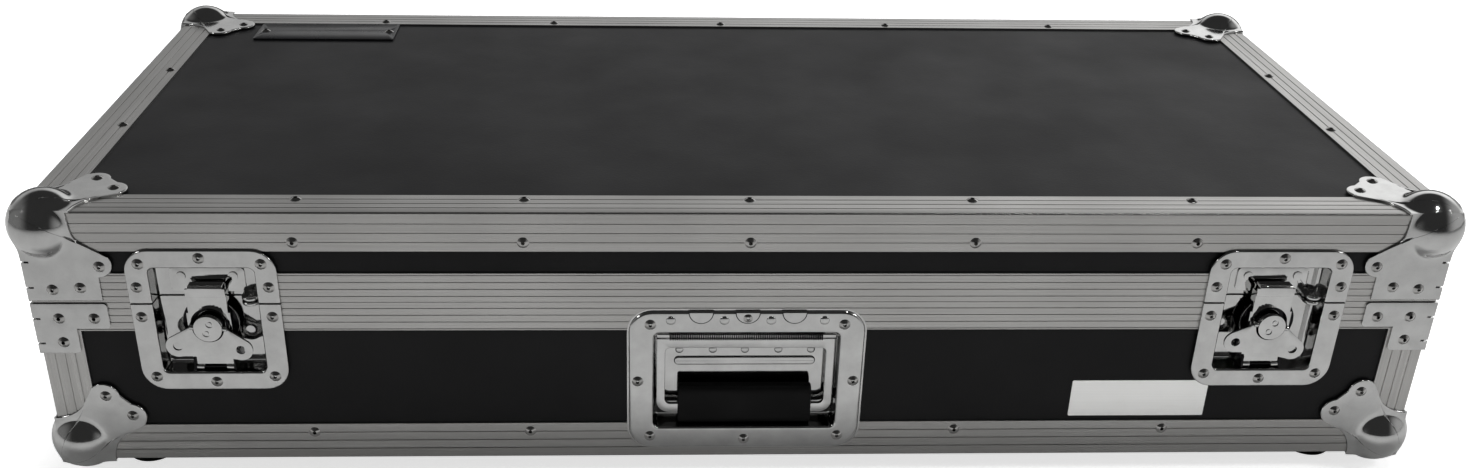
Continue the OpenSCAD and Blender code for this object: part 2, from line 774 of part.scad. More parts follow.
// The ball over a corner, with the case's own corner taken out of it
module ball() {
    difference() {
        translate([-hx + ball_in, -hy + ball_in, ball_in]) sphere(ball_r);
        translate([-hx, -hy, 0]) cube(2 * ball_r);
    }
}

// Slots through a plate round the case's upright edge, where it is bent
module bend_slots(up) {
    for (k = [0, 1])
        translate([-hx - plate_t - cut, -hy - plate_t - cut, z_seam + up * (bend_slot_first + k * bend_slot_pitch)
                   - bend_slot_h / 2])
            cube([plate_t + cut + bend_slot_w, plate_t + cut + bend_slot_w, bend_slot_h]);
}

module base_ball_corners() {
    color(chrome) difference() {
        four_corners() low_edge() {
            ball();
            front_plate() lobed_outline();
            left_plate() lobed_outline();
            level_plate() intersection() {
                circle(plate_edge);
                translate([-plate_t, -plate_t]) square(plate_edge + cut);
            }
        }
        on_front(base_end_rivets) rivet_bore();
        on_rear(base_end_rivets) rivet_bore();
        on_left(base_side_rivets) rivet_bore();
        on_right(base_side_rivets) rivet_bore();
    }
}

module lid_ball_corners() {
    color(chrome) difference() {
        four_corners() high_edge() {
            ball();
            front_plate() long_outline();
            left_plate() long_outline();
            level_plate() lobed_outline();
        }
        four_corners() bend_slots(1);
        on_front(lid_end_rivets) rivet_bore();
        on_rear(lid_end_rivets) rivet_bore();
        on_left(lid_side_rivets) rivet_bore();
        on_right(lid_side_rivets) rivet_bore();
        on_top(lid_top_rivets) rivet_bore();
    }
}

// The brace under the seam: a bar and a leg, bent round the case's corner
module brace_outline() {
    top = half_gap + fit;
    corner_r = 3;
    translate([-plate_t, top]) square([brace_w + plate_t - corner_r, brace_bar_h]);
    translate([-plate_t, top + corner_r]) square([brace_w + plate_t, brace_bar_h - 2 * corner_r]);
    for (y = [corner_r, brace_bar_h - corner_r]) translate([brace_w - corner_r, top + y]) circle(corner_r);
    translate([-plate_t, top]) square([brace_leg_w + plate_t, brace_h - corner_r]);
    translate([-plate_t, top]) square([brace_leg_w + plate_t - corner_r, brace_h]);
    translate([brace_leg_w - corner_r, top + brace_h - corner_r]) circle(corner_r);
}
module base_corner_braces() {
    color(chrome) difference() {
        four_corners() translate([0, 0, z_seam]) mirror([0, 0, 1]) {
            front_plate() brace_outline();
            left_plate() brace_outline();
        }
        four_corners() bend_slots(-1);
        on_front(base_end_rivets) rivet_bore();
        on_rear(base_end_rivets) rivet_bore();
        on_left(base_side_rivets) rivet_bore();
        on_right(base_side_rivets) rivet_bore();
    }
}

module rubber_feet() {
    edge_r = 2;
    recess = foot_h / 2;
    color(dark) for (p = foot_places) translate([p[0], p[1], 0]) difference() {
        rotate_extrude() {
            square([foot_r - edge_r, foot_h]);
            translate([0, edge_r]) square([foot_r, foot_h - edge_r]);
            translate([foot_r - edge_r, edge_r]) circle(edge_r);
        }
        translate([0, 0, -cut]) cylinder(r = foot_recess_r, h = recess + cut);
        cylinder(r = rivet_r + rivet_gap, h = foot_h + cut);
    }
}

module base_rivets() {
    color(silver) {
        rivets_on("front", base_front_rivets);
        rivets_on("rear", base_rear_rivets);
        rivets_on("left", base_side_rivets);
        rivets_on("right", base_side_rivets);
        rivets_on("under", base_under_rivets);
        rivets_on("under", [for (p = foot_places) [p[0], p[1], foot_h / 2]]);
    }
}
module lid_rivets() {
    color(silver) {
        rivets_on("front", lid_front_rivets);
        rivets_on("rear", lid_rear_rivets);
        rivets_on("left", lid_side_rivets);
        rivets_on("right", lid_side_rivets);
        rivets_on("top", concat(lid_top_rivets, badge_rivets));
    }
}

// ---------- dishes

// A pressed dish on the front: flange over the face, well sunk behind it. Drawn with
// its middle at the origin and outwards along -Y
module pressed_dish(w, h, shift, open_w, open_h, depth) {
    rotate([90, 0, 0]) difference() {
        union() {
            linear_extrude(flange_rise) round_plate(w, h, flange_r);
            translate([0, shift, -depth - dish_t]) linear_extrude(depth + dish_t + flange_rise)
                round_plate(open_w + 2 * dish_t, open_h + 2 * dish_t, opening_r + dish_t);
        }
        translate([0, shift, -depth]) linear_extrude(depth + flange_rise + cut)
            round_plate(open_w, open_h, opening_r);
    }
}

module latch_dish(s) {
    translate([s * latch_x, -hy, hub_z + latch_flange_z])
        pressed_dish(latch_w, latch_h, latch_open_z - latch_flange_z, latch_open_w, latch_open_h, latch_depth);
}

// A padlock eye: a level tab with a hole, standing off the dish's floor
module padlock_eye(s, z) {
    right = latch_open_w / 2;
    translate([s * latch_x + right - eye_w, latch_y - eye_reach, z]) difference() {
        union() {
            translate([0, eye_w / 2, 0]) cube([eye_w, eye_reach - eye_w / 2 + 0.2, eye_t]);
            translate([eye_w / 2, eye_w / 2, 0]) cylinder(r = eye_w / 2, h = eye_t);
        }
        translate([eye_w / 2, eye_w / 2, -cut]) cylinder(r = eye_hole_r, h = eye_t + 2 * cut);
    }
}

// A block over everything below, or above, the seam
module seam_block(low, high) translate([-case_w, -case_d, low]) cube([2 * case_w, 2 * case_d, high - low]);

module lower_dish(s) {
    color(chrome) difference() {
        union() {
            intersection() {
                latch_dish(s);
                seam_block(0, z_seam - dish_split / 2);
            }
            padlock_eye(s, z_seam - dish_split / 2 - eye_t);
        }
        on_front(base_front_rivets) rivet_bore();
        translate([s * latch_x, latch_y - cut, hub_z]) rotate([-90, 0, 0])
            cylinder(r = spindle_r + run_gap, h = dish_t + 2 * cut);
    }
}
module upper_dish(s) {
    color(chrome) difference() {
        union() {
            intersection() {
                latch_dish(s);
                seam_block(z_seam + dish_split / 2, 2 * z_top);
            }
            padlock_eye(s, z_seam + dish_split / 2);
        }
        on_front(lid_front_rivets) rivet_bore();
    }
}
module latch_left_lower_dish() lower_dish(-1);
module latch_right_lower_dish() lower_dish(1);
module latch_left_upper_dish() upper_dish(-1);
module latch_right_upper_dish() upper_dish(1);

module handle_dish() {
    color(chrome) difference() {
        translate([0, -hy, handle_mid_z])
            pressed_dish(handle_w, handle_h, 0, handle_open_w, handle_open_h, handle_depth);
        on_front(base_front_rivets) rivet_bore();
        translate([0, rod_y, rod_z]) rotate([0, 90, 0])
            cylinder(r = rod_r + run_gap, h = handle_open_w + 4 * dish_t, center = true);
    }
}
module handle_rod() {
    color(chrome) translate([0, rod_y, rod_z]) rotate([0, 90, 0])
        cylinder(r = rod_r, h = handle_open_w + 2 * dish_t, center = true);
}

// ---------- latches, drawn with the hub at the origin, x across, y off the floor, z up

module latch_place(s) translate([s * latch_x, latch_y, hub_z]) mirror([0, 1, 0]) children();
module disc(r, off, t) translate([0, off, 0]) rotate([-90, 0, 0]) cylinder(r = r, h = t);
module bar_pin(r, x0, x1, off, z) translate([x0, off, z]) rotate([0, 90, 0]) cylinder(r = r, h = x1 - x0);

module rest_turn(s) rotate([0, s < 0 ? left_turn : right_turn, 0]) children();

// The hub's two rivets stand on a line that is turned further than the wing
module hub_rivets(x) {
    further = 18;
    rotate([0, 90 + further, 0]) for (at = [-x, x]) translate([at, 0, 0]) children();
}

module hub(s) {
    back_t = 1.5;
    stub_x = hub_r + 0.3 + wing_loop_w;
    face = drum_off + drum_t;
    sink_r = 2.6;                         // the two sunk rivets in the hub's face
    sink_t = 0.8;
    sink_x = 4;
    head_r = 1.7;
    color(chrome) latch_place(s) {
        difference() {
            union() {
                disc(spindle_r, -dish_t - back_t, cam_off + dish_t + back_t + cam_t / 2);
                disc(spindle_r + 2, -dish_t - back_t - 0.2, back_t);
                disc(cam_r, cam_off, cam_t);
                disc(hub_r, drum_off, drum_t);
                rest_turn(s) bar_pin(wing_pin_r, -stub_x, stub_x, wing_pin_off, 0);
            }
            rest_turn(s) hub_rivets(sink_x) disc(sink_r, face - sink_t, sink_t + cut);
        }
        rest_turn(s) hub_rivets(sink_x) disc(head_r, face - sink_t - 0.2, sink_t);
    }
}
module latch_left_hub() hub(-1);
module latch_right_hub() hub(1);

module wing(s) {
    loop_x = hub_r + 0.3;
    hub_gap = 1.2;
    hole_r = 3.4;
    low_z = -wing_hole_z;
    color(chrome) latch_place(s) rest_turn(s) difference() {
        union() {
            translate([0, wing_pin_off - wing_t / 2, 0]) rotate([-90, 0, 0]) linear_extrude(wing_t) mirror([0, 1])
                difference() {
                    for (x = [-1, 1]) {
                        translate([x * wing_hole_x, low_z]) circle(wing_end_r);
                        polygon([[x * loop_x, 0], [x * (loop_x + wing_loop_w), 0],
                                 [x * (wing_hole_x + wing_end_r * 0.64), low_z + wing_end_r * 0.77],
                                 [x * (wing_hole_x - wing_end_r * 0.3), low_z - wing_end_r * 0.95],
                                 [0, low_z - wing_end_r * 0.75], [0, low_z + wing_end_r]]);
                    }
                    circle(hub_r + hub_gap);
                    for (x = [-1, 1]) translate([x * wing_hole_x, low_z]) circle(hole_r);
                }
            for (x = [-1, 1])
                bar_pin(wing_loop_r, x > 0 ? loop_x : -loop_x - wing_loop_w,
                        x > 0 ? loop_x + wing_loop_w : -loop_x, wing_pin_off, 0);
        }
        bar_pin(wing_pin_r + run_gap, -claw_w, claw_w, wing_pin_off, 0);
    }
}
module latch_left_wing() wing(-1);
module latch_right_wing() wing(1);

module driver(s) {
    foot_z = -latch_open_drop + 0.7;
    slot = spindle_r + 0.2;
    top = spindle_r + 4;
    color(chrome) latch_place(s) difference() {
        union() {
            translate([-ear_x - ear_t, driver_off, foot_z]) cube([2 * (ear_x + ear_t), driver_t, top - foot_z]);
            for (x = [-ear_x - ear_t, ear_x])
                translate([x, driver_off, foot_z])
                    cube([ear_t, claw_pin_off + claw_loop_r - driver_off, ear_top - foot_z]);
            bar_pin(claw_pin_r, -ear_x - ear_t / 2, ear_x + ear_t / 2, claw_pin_off, claw_pin_z);
        }
        translate([-slot, 0, -claw_lift]) cube([2 * slot, cam_off, claw_lift]);
        for (z = [0, -claw_lift]) translate([0, 0, z]) disc(slot, 0, cam_off);
    }
}
module latch_left_driver() driver(-1);
module latch_right_driver() driver(1);

// Section of the claw's upper part: it steps outwards over the seam and ends in the
// rounded hook. Drawn off the floor and up from the hub
module hook_section() {
    front = claw_off + claw_step + claw_t;
    step_z = seam_up + 5;
    translate([claw_off, 0]) square([claw_t, step_z]);
    translate([claw_off + claw_step, step_z - claw_step]) square([claw_t, hook_low - step_z + claw_step]);
    translate([hook_in, hook_low]) square([front - hook_in - hook_t, hook_t]);
    intersection() {
        translate([front - hook_t, hook_low]) circle(hook_t);
        translate([front - hook_t, hook_low]) square(hook_t);
    }
}
module across(w) rotate([90, 0, 90]) linear_extrude(w, center = true) children();

module claw(s) {
    side_gap = 0.3;
    leg_low = ear_top + 0.8;              // the legs stand over the driver's ears
    tail_x = ear_x - side_gap;
    cheek_t = 1.2;
    cheek_low = cam_r - 3;                // the side walls pass over the cam disc
    cheek_h = 9;
    cheek_off = strike_reach + 0.2;
    color(chrome) latch_place(s) difference() {
        union() {
            translate([-claw_w / 2, claw_off, leg_low]) cube([claw_w, claw_t, hub_r - leg_low]);
            translate([-tail_x, claw_off, claw_pin_z]) cube([2 * tail_x, claw_t, leg_low + 1 - claw_pin_z]);
            intersection() {
                across(claw_top_w) hook_section();
                translate([-claw_w, claw_off - cut, 0]) cube([2 * claw_w, 2 * drum_t, hook_low]);
            }
            across(strike_w) hook_section();
            for (x = [-claw_top_w / 2, claw_top_w / 2 - cheek_t])
                translate([x, cheek_off, cheek_low]) cube([cheek_t, claw_off + claw_t - cheek_off, cheek_h]);
            for (x = [-tail_x, tail_x - loop_w])
                bar_pin(claw_loop_r, x, x + loop_w, claw_pin_off, claw_pin_z);
        }
        bar_pin(claw_pin_r + run_gap, -claw_w, claw_w, claw_pin_off, claw_pin_z);
        for (z = [0, -claw_lift]) translate([0, 0, z]) disc(window_r, 0, 2 * drum_t);
        translate([-window_r, 0, -claw_lift]) cube([2 * window_r, 2 * drum_t, claw_lift]);
        translate([-tail_x + loop_w + side_gap, 0, claw_pin_z - claw_loop_r - cut])
            cube([2 * (tail_x - loop_w - side_gap), 2 * drum_t, 2 * claw_loop_r + cut]);
    }
}
module latch_left_claw() claw(-1);
module latch_right_claw() claw(1);

// The bracket on the lid that each claw hooks over
module latch_strikes() {
    head_r = 3.4;
    head_h = 1.2;
    rivet_x = strike_w / 2 + 6.4;
    rivet_z = hook_low + 5.5;
    plate_w = 2 * (rivet_x + head_r + 4.7);
    plate_r = 3.5;
    plate_low = hook_low - strike_h - 0.5;
    plate_high = hook_low + 12;
    wide_low = seam_up + dish_split / 2 + eye_t + 0.6;      // clear of the padlock eye
    wide_h = plate_high - wide_low;
    color(chrome) for (s = [-1, 1]) latch_place(s) {
        translate([-strike_w / 2, 0, plate_low]) cube([strike_w, strike_reach, strike_h]);
        translate([0, strike_plate_t, wide_low + wide_h / 2]) rotate([90, 0, 0])
            linear_extrude(strike_plate_t) round_plate(plate_w, wide_h, plate_r);
        for (x = [-rivet_x, rivet_x]) translate([x, 0, rivet_z]) disc(head_r, 0, strike_plate_t + head_h);
    }
}

// ---------- handle

module handle_bail() {
    bend_r = 10;                          // radius of the bail's lower corners
    window_r = 4;
    strap_h = 11.5;                       // from the window up to the rod
    top = rod_z - bar_low;
    window_h = top - bar_h - strap_h;
    color(chrome) difference() {
        union() {
            translate([0, rod_y + bail_t / 2, bar_low]) rotate([90, 0, 0]) linear_extrude(bail_t) difference() {
                round_foot(2 * (bail_x + bail_w), top, bend_r);
                translate([0, bar_h + window_h / 2]) round_plate(2 * bail_x, window_h, window_r);
            }
            translate([0, rod_y, rod_z]) rotate([0, 90, 0])
                cylinder(r = rod_r + barrel_t, h = 2 * (bail_x + bail_w), center = true);
        }
        translate([0, rod_y, rod_z]) rotate([0, 90, 0])
            cylinder(r = rod_r + run_gap, h = handle_open_w, center = true);
    }
}
module handle_grip() {
    color(dark) difference() {
        translate([0, rod_y, grip_mid]) rotate([90, 0, 90]) linear_extrude(grip_w, center = true)
            round_plate(grip_t, grip_h, grip_t / 2 - 0.6);
        translate([0, rod_y, bar_low + bar_h / 2]) cube([grip_w + 2 * cut, bail_t, bar_h], center = true);
    }
}

// ---------- hinges, drawn on the rear face with x from a hinge's left end

module hinge_axis() translate([0, hy + hinge_out, z_seam]) rotate([0, 90, 0]) children();

// One leaf of every hinge: the plate, and straps that run to its own knuckles
module leaves(up, own, pts) {
    gap = 0.15;
    difference() {
        for (x = [-hinge_x, 0, hinge_x]) translate([x - hinge_w / 2, 0, 0]) {
            translate([0, hy, up > 0 ? z_seam + leaf_in : z_seam - leaf_h]) cube([hinge_w, leaf_t, leaf_h - leaf_in]);
            for (k = own) translate([k * knuckle_w + gap, 0, 0]) {
                translate([0, hy, up > 0 ? z_seam : z_seam - leaf_in]) cube([knuckle_w - 2 * gap, leaf_t, leaf_in]);
                hinge_axis() cylinder(r = knuckle_r, h = knuckle_w - 2 * gap);
            }
        }
        hinge_axis() cylinder(r = hinge_pin_r + run_gap, h = case_w, center = true);
        on_rear(pts) rivet_bore();
    }
}
module hinge_base_leaves() {
    color(silver) {
        leaves(-1, [0, 2, 4], base_rear_rivets);
        for (x = [-hinge_x, 0, hinge_x]) translate([x, 0, 0])
            hinge_axis() cylinder(r = hinge_pin_r, h = hinge_w, center = true);
    }
}
module hinge_lid_leaves() color(silver) leaves(1, [1, 3], lid_rear_rivets);

// ---------- lining and board

// Pockets behind the dishes, so that the foam lies flat on the panel round them
module dish_pockets() {
    back = latch_depth + dish_t + 5;
    for (s = [-1, 1])
        translate([s * latch_x - latch_open_w / 2 - dish_t - cut, -hy, hub_z - latch_open_drop - dish_t - cut])
            cube([latch_open_w + 2 * (dish_t + cut), back, z_top - z_low]);
    translate([-handle_open_w / 2 - dish_t - cut, -hy, handle_mid_z - handle_open_h / 2 - dish_t - cut])
        cube([handle_open_w + 2 * (dish_t + cut), handle_depth + dish_t + cut, handle_open_h + 2 * (dish_t + cut)]);
}
module front_foam(low, high, t) translate([-hx + inner, -hy + inner, low]) cube([case_w - 2 * inner, t, high - low]);
module side_foam(low, high, t) translate([-hx + inner, -hy + inner + t, low]) cube([t, case_d - 2 * (inner + t), high - low]);

module base_foam() {
    color(felt) {
        difference() {
            front_foam(floor_z, foam_top, foam_t);
            dish_pockets();
        }
        mirror([0, 1, 0]) front_foam(floor_z, foam_top, foam_t);
        side_foam(floor_z, foam_top, foam_t);
        mirror([1, 0, 0]) side_foam(floor_z, foam_top, foam_t);
        translate([-board_x + cleat_w + 1, -board_y + cleat_w + 1, floor_z])
            cube([2 * (board_x - cleat_w - 1), 2 * (board_y - cleat_w - 1), foam_t]);
    }
}
module lid_foam() {
    color(felt) {
        difference() {
            front_foam(lid_foam_low, roof_z, lid_wall_foam_t);
            dish_pockets();
        }
        mirror([0, 1, 0]) front_foam(lid_foam_low, roof_z, lid_wall_foam_t);
        side_foam(lid_foam_low, roof_z, lid_wall_foam_t);
        mirror([1, 0, 0]) side_foam(lid_foam_low, roof_z, lid_wall_foam_t);
        translate([-hx + inner + lid_wall_foam_t, -hy + inner + lid_wall_foam_t, roof_z - lid_foam_t])
            cube([case_w - 2 * (inner + lid_wall_foam_t), case_d - 2 * (inner + lid_wall_foam_t), lid_foam_t]);
    }
}

module board_cleats() {
    color(timber) {
        for (s = [0, 1]) {
            mirror([0, s, 0]) translate([-board_x, -board_y, floor_z]) cube([2 * board_x, cleat_w, cleat_h]);
            mirror([s, 0, 0]) translate([-board_x, -board_y + cleat_w, floor_z])
                cube([cleat_w, 2 * (board_y - cleat_w), cleat_h]);
        }
    }
}

// Round-ended slots near both ends of the board, for lifting it out
module finger_slots(low, h) {
    for (s = [-1, 1]) translate([s * (board_x - slot_in), 0, low]) linear_extrude(h)
        round_plate(slot_h, slot_w, slot_h / 2 - 0.01);
}
module pedal_board() {
    color(timber) difference() {
        translate([-board_x, -board_y, board_z]) cube([2 * board_x, 2 * board_y, board_t]);
        finger_slots(board_z - cut, board_t + 2 * cut);
    }
}
module pedal_board_carpet() {
    color(felt) difference() {
        translate([-board_x, -board_y, board_top]) cube([2 * board_x, 2 * board_y, carpet_t]);
        finger_slots(board_top - cut, carpet_t + 2 * cut);
    }
}

// ---------- bare plates

module badge_plate() {
    color(dark) difference() {
        translate([badge_mid[0], badge_mid[1], z_top - angle_t]) linear_extrude(angle_t + 0.2)
            round_plate(badge_w, badge_d, 2);
        on_top(badge_rivets) rivet_bore();
    }
}
module front_label() {
    label_t = 0.4;
    color(silver) translate([latch_x - label_in, -hy + angle_t, z_low + label_z]) rotate([90, 0, 0])
        linear_extrude(label_t) round_plate(label_w, label_h, 1);
}

base_bottom_panel();
base_front_panel();
base_rear_panel();
base_left_panel();
base_right_panel();
base_edge_front();
base_edge_rear();
base_edge_left();
base_edge_right();
base_corner_angles();
base_rim_front();
base_rim_rear();
base_rim_left();
base_rim_right();
base_ball_corners();
base_corner_braces();
rubber_feet();
latch_left_lower_dish();
latch_right_lower_dish();
handle_dish();
handle_rod();
base_rivets();
hinge_base_leaves();
base_foam();
board_cleats();
front_label();
lid_top_panel();
lid_front_panel();
lid_rear_panel();
lid_left_panel();
lid_right_panel();
lid_edge_front();
lid_edge_rear();
lid_edge_left();
lid_edge_right();
lid_rim_front();
lid_rim_rear();
lid_rim_left();
lid_rim_right();
lid_ball_corners();
latch_left_upper_dish();
latch_right_upper_dish();
latch_strikes();
lid_rivets();
hinge_lid_leaves();
lid_foam();
badge_plate();
latch_left_hub();
latch_right_hub();
latch_left_wing();
latch_right_wing();
latch_left_driver();
latch_right_driver();
latch_left_claw();
latch_right_claw();
handle_bail();
handle_grip();
pedal_board();
pedal_board_carpet();
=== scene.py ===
"""Looks of a guitar pedal case: a laminated flight case with ribbed aluminium edging.

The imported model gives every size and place. This script gives each node its finish,
and puts pressed, moulded and soft surfaces where the plain solids stand for them.
Everything is in metres, with -Y out of the front and the origin on the floor.
"""

from __future__ import annotations

import logging
import math
from dataclasses import dataclass
from enum import Enum
from typing import Any, Callable, Sequence

import bmesh
import bpy
import numpy as np
from mathutils import Matrix, Vector

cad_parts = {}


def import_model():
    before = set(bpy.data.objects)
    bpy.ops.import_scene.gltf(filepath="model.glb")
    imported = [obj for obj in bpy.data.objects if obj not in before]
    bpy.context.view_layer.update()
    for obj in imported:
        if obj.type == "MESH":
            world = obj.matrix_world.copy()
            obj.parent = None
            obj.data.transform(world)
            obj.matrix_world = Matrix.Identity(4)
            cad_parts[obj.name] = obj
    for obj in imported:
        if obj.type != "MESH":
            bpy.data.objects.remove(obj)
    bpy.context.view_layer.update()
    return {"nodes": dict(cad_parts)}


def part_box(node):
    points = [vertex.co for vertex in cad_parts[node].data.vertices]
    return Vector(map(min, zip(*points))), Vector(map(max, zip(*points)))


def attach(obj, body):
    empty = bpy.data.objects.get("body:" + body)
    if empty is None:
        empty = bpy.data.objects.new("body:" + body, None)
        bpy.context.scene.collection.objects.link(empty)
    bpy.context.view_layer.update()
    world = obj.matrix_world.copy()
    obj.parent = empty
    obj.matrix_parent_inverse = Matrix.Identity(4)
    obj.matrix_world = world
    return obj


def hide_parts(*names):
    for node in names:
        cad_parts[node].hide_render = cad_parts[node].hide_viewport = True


MM = 0.001
QUARTER = math.pi / 2
FRONT = (0.0, -1.0, 0.0)
UP = (0.0, 0.0, 1.0)
log = logging.getLogger("pedal_case")
Array = np.ndarray


# ---------------------------------------------------------------- nodes of a shader


def hex_to_linear(code: str) -> tuple[float, float, float, float]:
    """Turns an sRGB hex colour into linear light.

    Args:
        code: A colour such as "#C4C2BD".

    Returns:
        Linear red, green, blue, and an alpha of 1.
    """
    channels = [int(code[i : i + 2], 16) / 255 for i in (1, 3, 5)]
    linear = [c / 12.92 if c <= 0.04045 else ((c + 0.055) / 1.055) ** 2.4 for c in channels]
    return (*linear, 1.0)


def add_node(tree: Any, kind: str, settings: dict[Any, Any] | None = None, **links: Any) -> Any:
    """Adds a shader node, sets it up and links its inputs.

    Args:
        tree: The node tree.
        kind: The node's type, without the ShaderNode prefix.
        settings: Attributes of the node or values of its inputs, by name or index.
        **links: Output sockets for the inputs by name, with underscores for spaces, or
            by index, as i0.

    Returns:
        The new node.
    """
    made = tree.nodes.new("ShaderNode" + kind)
    for key, value in (settings or {}).items():
        if isinstance(key, int) or key in made.inputs:
            made.inputs[key].default_value = value
        else:
            setattr(made, key, value)
    for key, socket in links.items():
        place = int(key[1:]) if key[0] == "i" and key[1:].isdigit() else key.replace("_", " ")
        tree.links.new(socket, made.inputs[place])
    return made


# ---------------------------------------------------------------- finishes

# Values of a texture that stand for all shade and for all colour
TEXTURE_RANGE = (0.3, 0.7)


class Run(Enum):
    """The way a drawn grain runs: how far the pattern is stretched along each axis."""

    ALONG_X = (0.004, 1.0, 1.0)
    ALONG_Y = (1.0, 0.004, 1.0)
    ALONG_Z = (1.0, 1.0, 0.004)


@dataclass(frozen=True)
class Finish:
    """A finish: its colours, its gloss and the size of its texture.

    Attributes:
        name: The material's name.
        colour: Its main colour.
        shade: The colour that its texture moves towards.
        metallic: 1 for bare metal.
        roughness: The middle of its roughness.
        spread: How far the texture moves the roughness.
    """

    name: str
    colour: str
    shade: str
    metallic: float = 0.0
    roughness: float = 0.5
    spread: float = 0.06

    def start(self) -> tuple[Any, Any, Any, Any]:
        """Makes the material with a Principled shader and object coordinates.

        Returns:
            The material, its tree, its shader and the coordinate socket.
        """
        material = bpy.data.materials.new(self.name)
        material.use_nodes = True
        tree = material.node_tree
        shader = tree.nodes["Principled BSDF"]
        shader.inputs["Metallic"].default_value = self.metallic
        material.diffuse_color = hex_to_linear(self.colour)
        return material, tree, shader, add_node(tree, "TexCoord").outputs["Object"]

    def vary(self, tree: Any, shader: Any, factor: Any) -> None:
        """Moves the colour and the roughness in step with a texture.

        Args:
            tree: The material's node tree.
            shader: Its shader.
            factor: The texture's value, where the low end is the shade and the duller one.
        """
        low, high = TEXTURE_RANGE
        ranged = add_node(tree, "MapRange", {"From Min": low, "From Max": high}, Value=factor)
        share = ranged.outputs["Result"]
        colour = add_node(tree, "Mix", {"data_type": "RGBA", 6: hex_to_linear(self.shade),
                                        7: hex_to_linear(self.colour)}, i0=share)
        tree.links.new(colour.outputs[2], shader.inputs["Base Color"])
        rough = add_node(tree, "MapRange", {"To Min": self.roughness + self.spread,
                                            "To Max": self.roughness - self.spread}, Value=share)
        tree.links.new(rough.outputs["Result"], shader.inputs["Roughness"])

    def raise_by(self, tree: Any, shader: Any, height: Any, depth: float, strength: float) -> None:
        """Adds a bump from a height value.

        Args:
            tree: The material's node tree.
            shader: Its shader.
            height: The height, in shares of the depth.
            depth: Depth of the relief, in metres.
            strength: Share of the relief that shows.
        """
        bump = add_node(tree, "Bump", {"Strength": strength, "Distance": depth}, Height=height)
        tree.links.new(bump.outputs["Normal"], shader.inputs["Normal"])


@dataclass(frozen=True)
class Laminate(Finish):
    """Phenolic laminate pressed on plywood: black, with a fine moulded pebble.

    The pebble scatters highlights, so the sheet goes grey where it meets the light.
    """

    pebble_mm: float = 1.6
    depth_mm: float = 0.1
    gloss: float = 0.18

    def build(self) -> Any:
        """Makes the material.

        Height: the smoothed distance to the nearest of random cells. Colour: a slow cloud.

        Returns:
            The material.
        """
        material, tree, shader, where = self.start()
        cells = add_node(tree, "TexVoronoi", {"feature": "SMOOTH_F1",
                                              "Scale": 1 / (self.pebble_mm * MM)}, Vector=where)
        cloud = add_node(tree, "TexNoise", {"Scale": 11.0, "Detail": 5.0, "Roughness": 0.6},
                         Vector=where)
        self.vary(tree, shader, cloud.outputs["Fac"])
        shader.inputs["Specular IOR Level"].default_value = self.gloss
        self.raise_by(tree, shader, cells.outputs["Distance"], self.depth_mm * MM, 0.5)
        return material


@dataclass(frozen=True)
class DrawnMetal(Finish):
    """Mill finish aluminium, zinc plate or foil: faint lines along the way it was drawn.

    The lines smear reflections across the draw, and handling leaves duller patches.
    """

    run: Run = Run.ALONG_X
    line_mm: float = 0.7
    depth_mm: float = 0.03

    def build(self) -> Any:
        """Makes the material.

        Height: noise stretched along the draw. Colour: the same lines and a slow cloud.

        Returns:
            The material.
        """
        material, tree, shader, where = self.start()
        stretched = add_node(tree, "Mapping", {"Scale": self.run.value}, Vector=where)
        lines = add_node(tree, "TexNoise", {"Scale": 1 / (self.line_mm * MM), "Detail": 3.0},
                         Vector=stretched.outputs["Vector"])
        wear = add_node(tree, "TexNoise", {"Scale": 9.0, "Detail": 5.0}, Vector=where)
        share = add_node(tree, "Math", {"operation": "MULTIPLY", 1: 0.6}, i0=lines.outputs["Fac"])
        mixed = add_node(tree, "Math", {"operation": "MULTIPLY_ADD", 1: 0.4},
                         i0=wear.outputs["Fac"], i2=share.outputs["Value"])
        self.vary(tree, shader, mixed.outputs["Value"])
        self.raise_by(tree, shader, lines.outputs["Fac"], self.depth_mm * MM, 0.3)
        return material


@dataclass(frozen=True)
class PlatedSteel(Finish):
    """Pressed steel, bright plated: a mirror with faint press waves and finger smears."""

    wave_mm: float = 26.0
    wave: float = 0.2
    depth_mm: float = 0.5

    def build(self) -> Any:
        """Makes the material.

        Height: broad soft noise, as pressing leaves. Colour and gloss: fine smears.

        Returns:
            The material.
        """
        material, tree, shader, where = self.start()
        smear = add_node(tree, "TexNoise", {"Scale": 60.0, "Detail": 6.0, "Roughness": 0.65},
                         Vector=where)
        wave = add_node(tree, "TexNoise", {"Scale": 1 / (self.wave_mm * MM), "Detail": 1.5},
                        Vector=where)
        self.vary(tree, shader, smear.outputs["Fac"])
        self.raise_by(tree, shader, wave.outputs["Fac"], self.depth_mm * MM, self.wave)
        return material


@dataclass(frozen=True)
class Moulded(Finish):
    """Moulded rubber or plastic, or blackened steel: the tool's fine grain dulls it."""

    grain_mm: float = 0.5
    depth_mm: float = 0.05
    gloss: float = 0.3

    def build(self) -> Any:
        """Makes the material.

        Height: fine noise, the tool's grain. Colour and gloss: a slow cloud.

        Returns:
            The material.
        """
        material, tree, shader, where = self.start()
        grain = add_node(tree, "TexNoise", {"Scale": 1 / (self.grain_mm * MM), "Detail": 2.0},
                         Vector=where)
        cloud = add_node(tree, "TexNoise", {"Scale": 30.0, "Detail": 4.0}, Vector=where)
        self.vary(tree, shader, cloud.outputs["Fac"])
        shader.inputs["Specular IOR Level"].default_value = self.gloss
        self.raise_by(tree, shader, grain.outputs["Fac"], self.depth_mm * MM, 0.5)
        return material


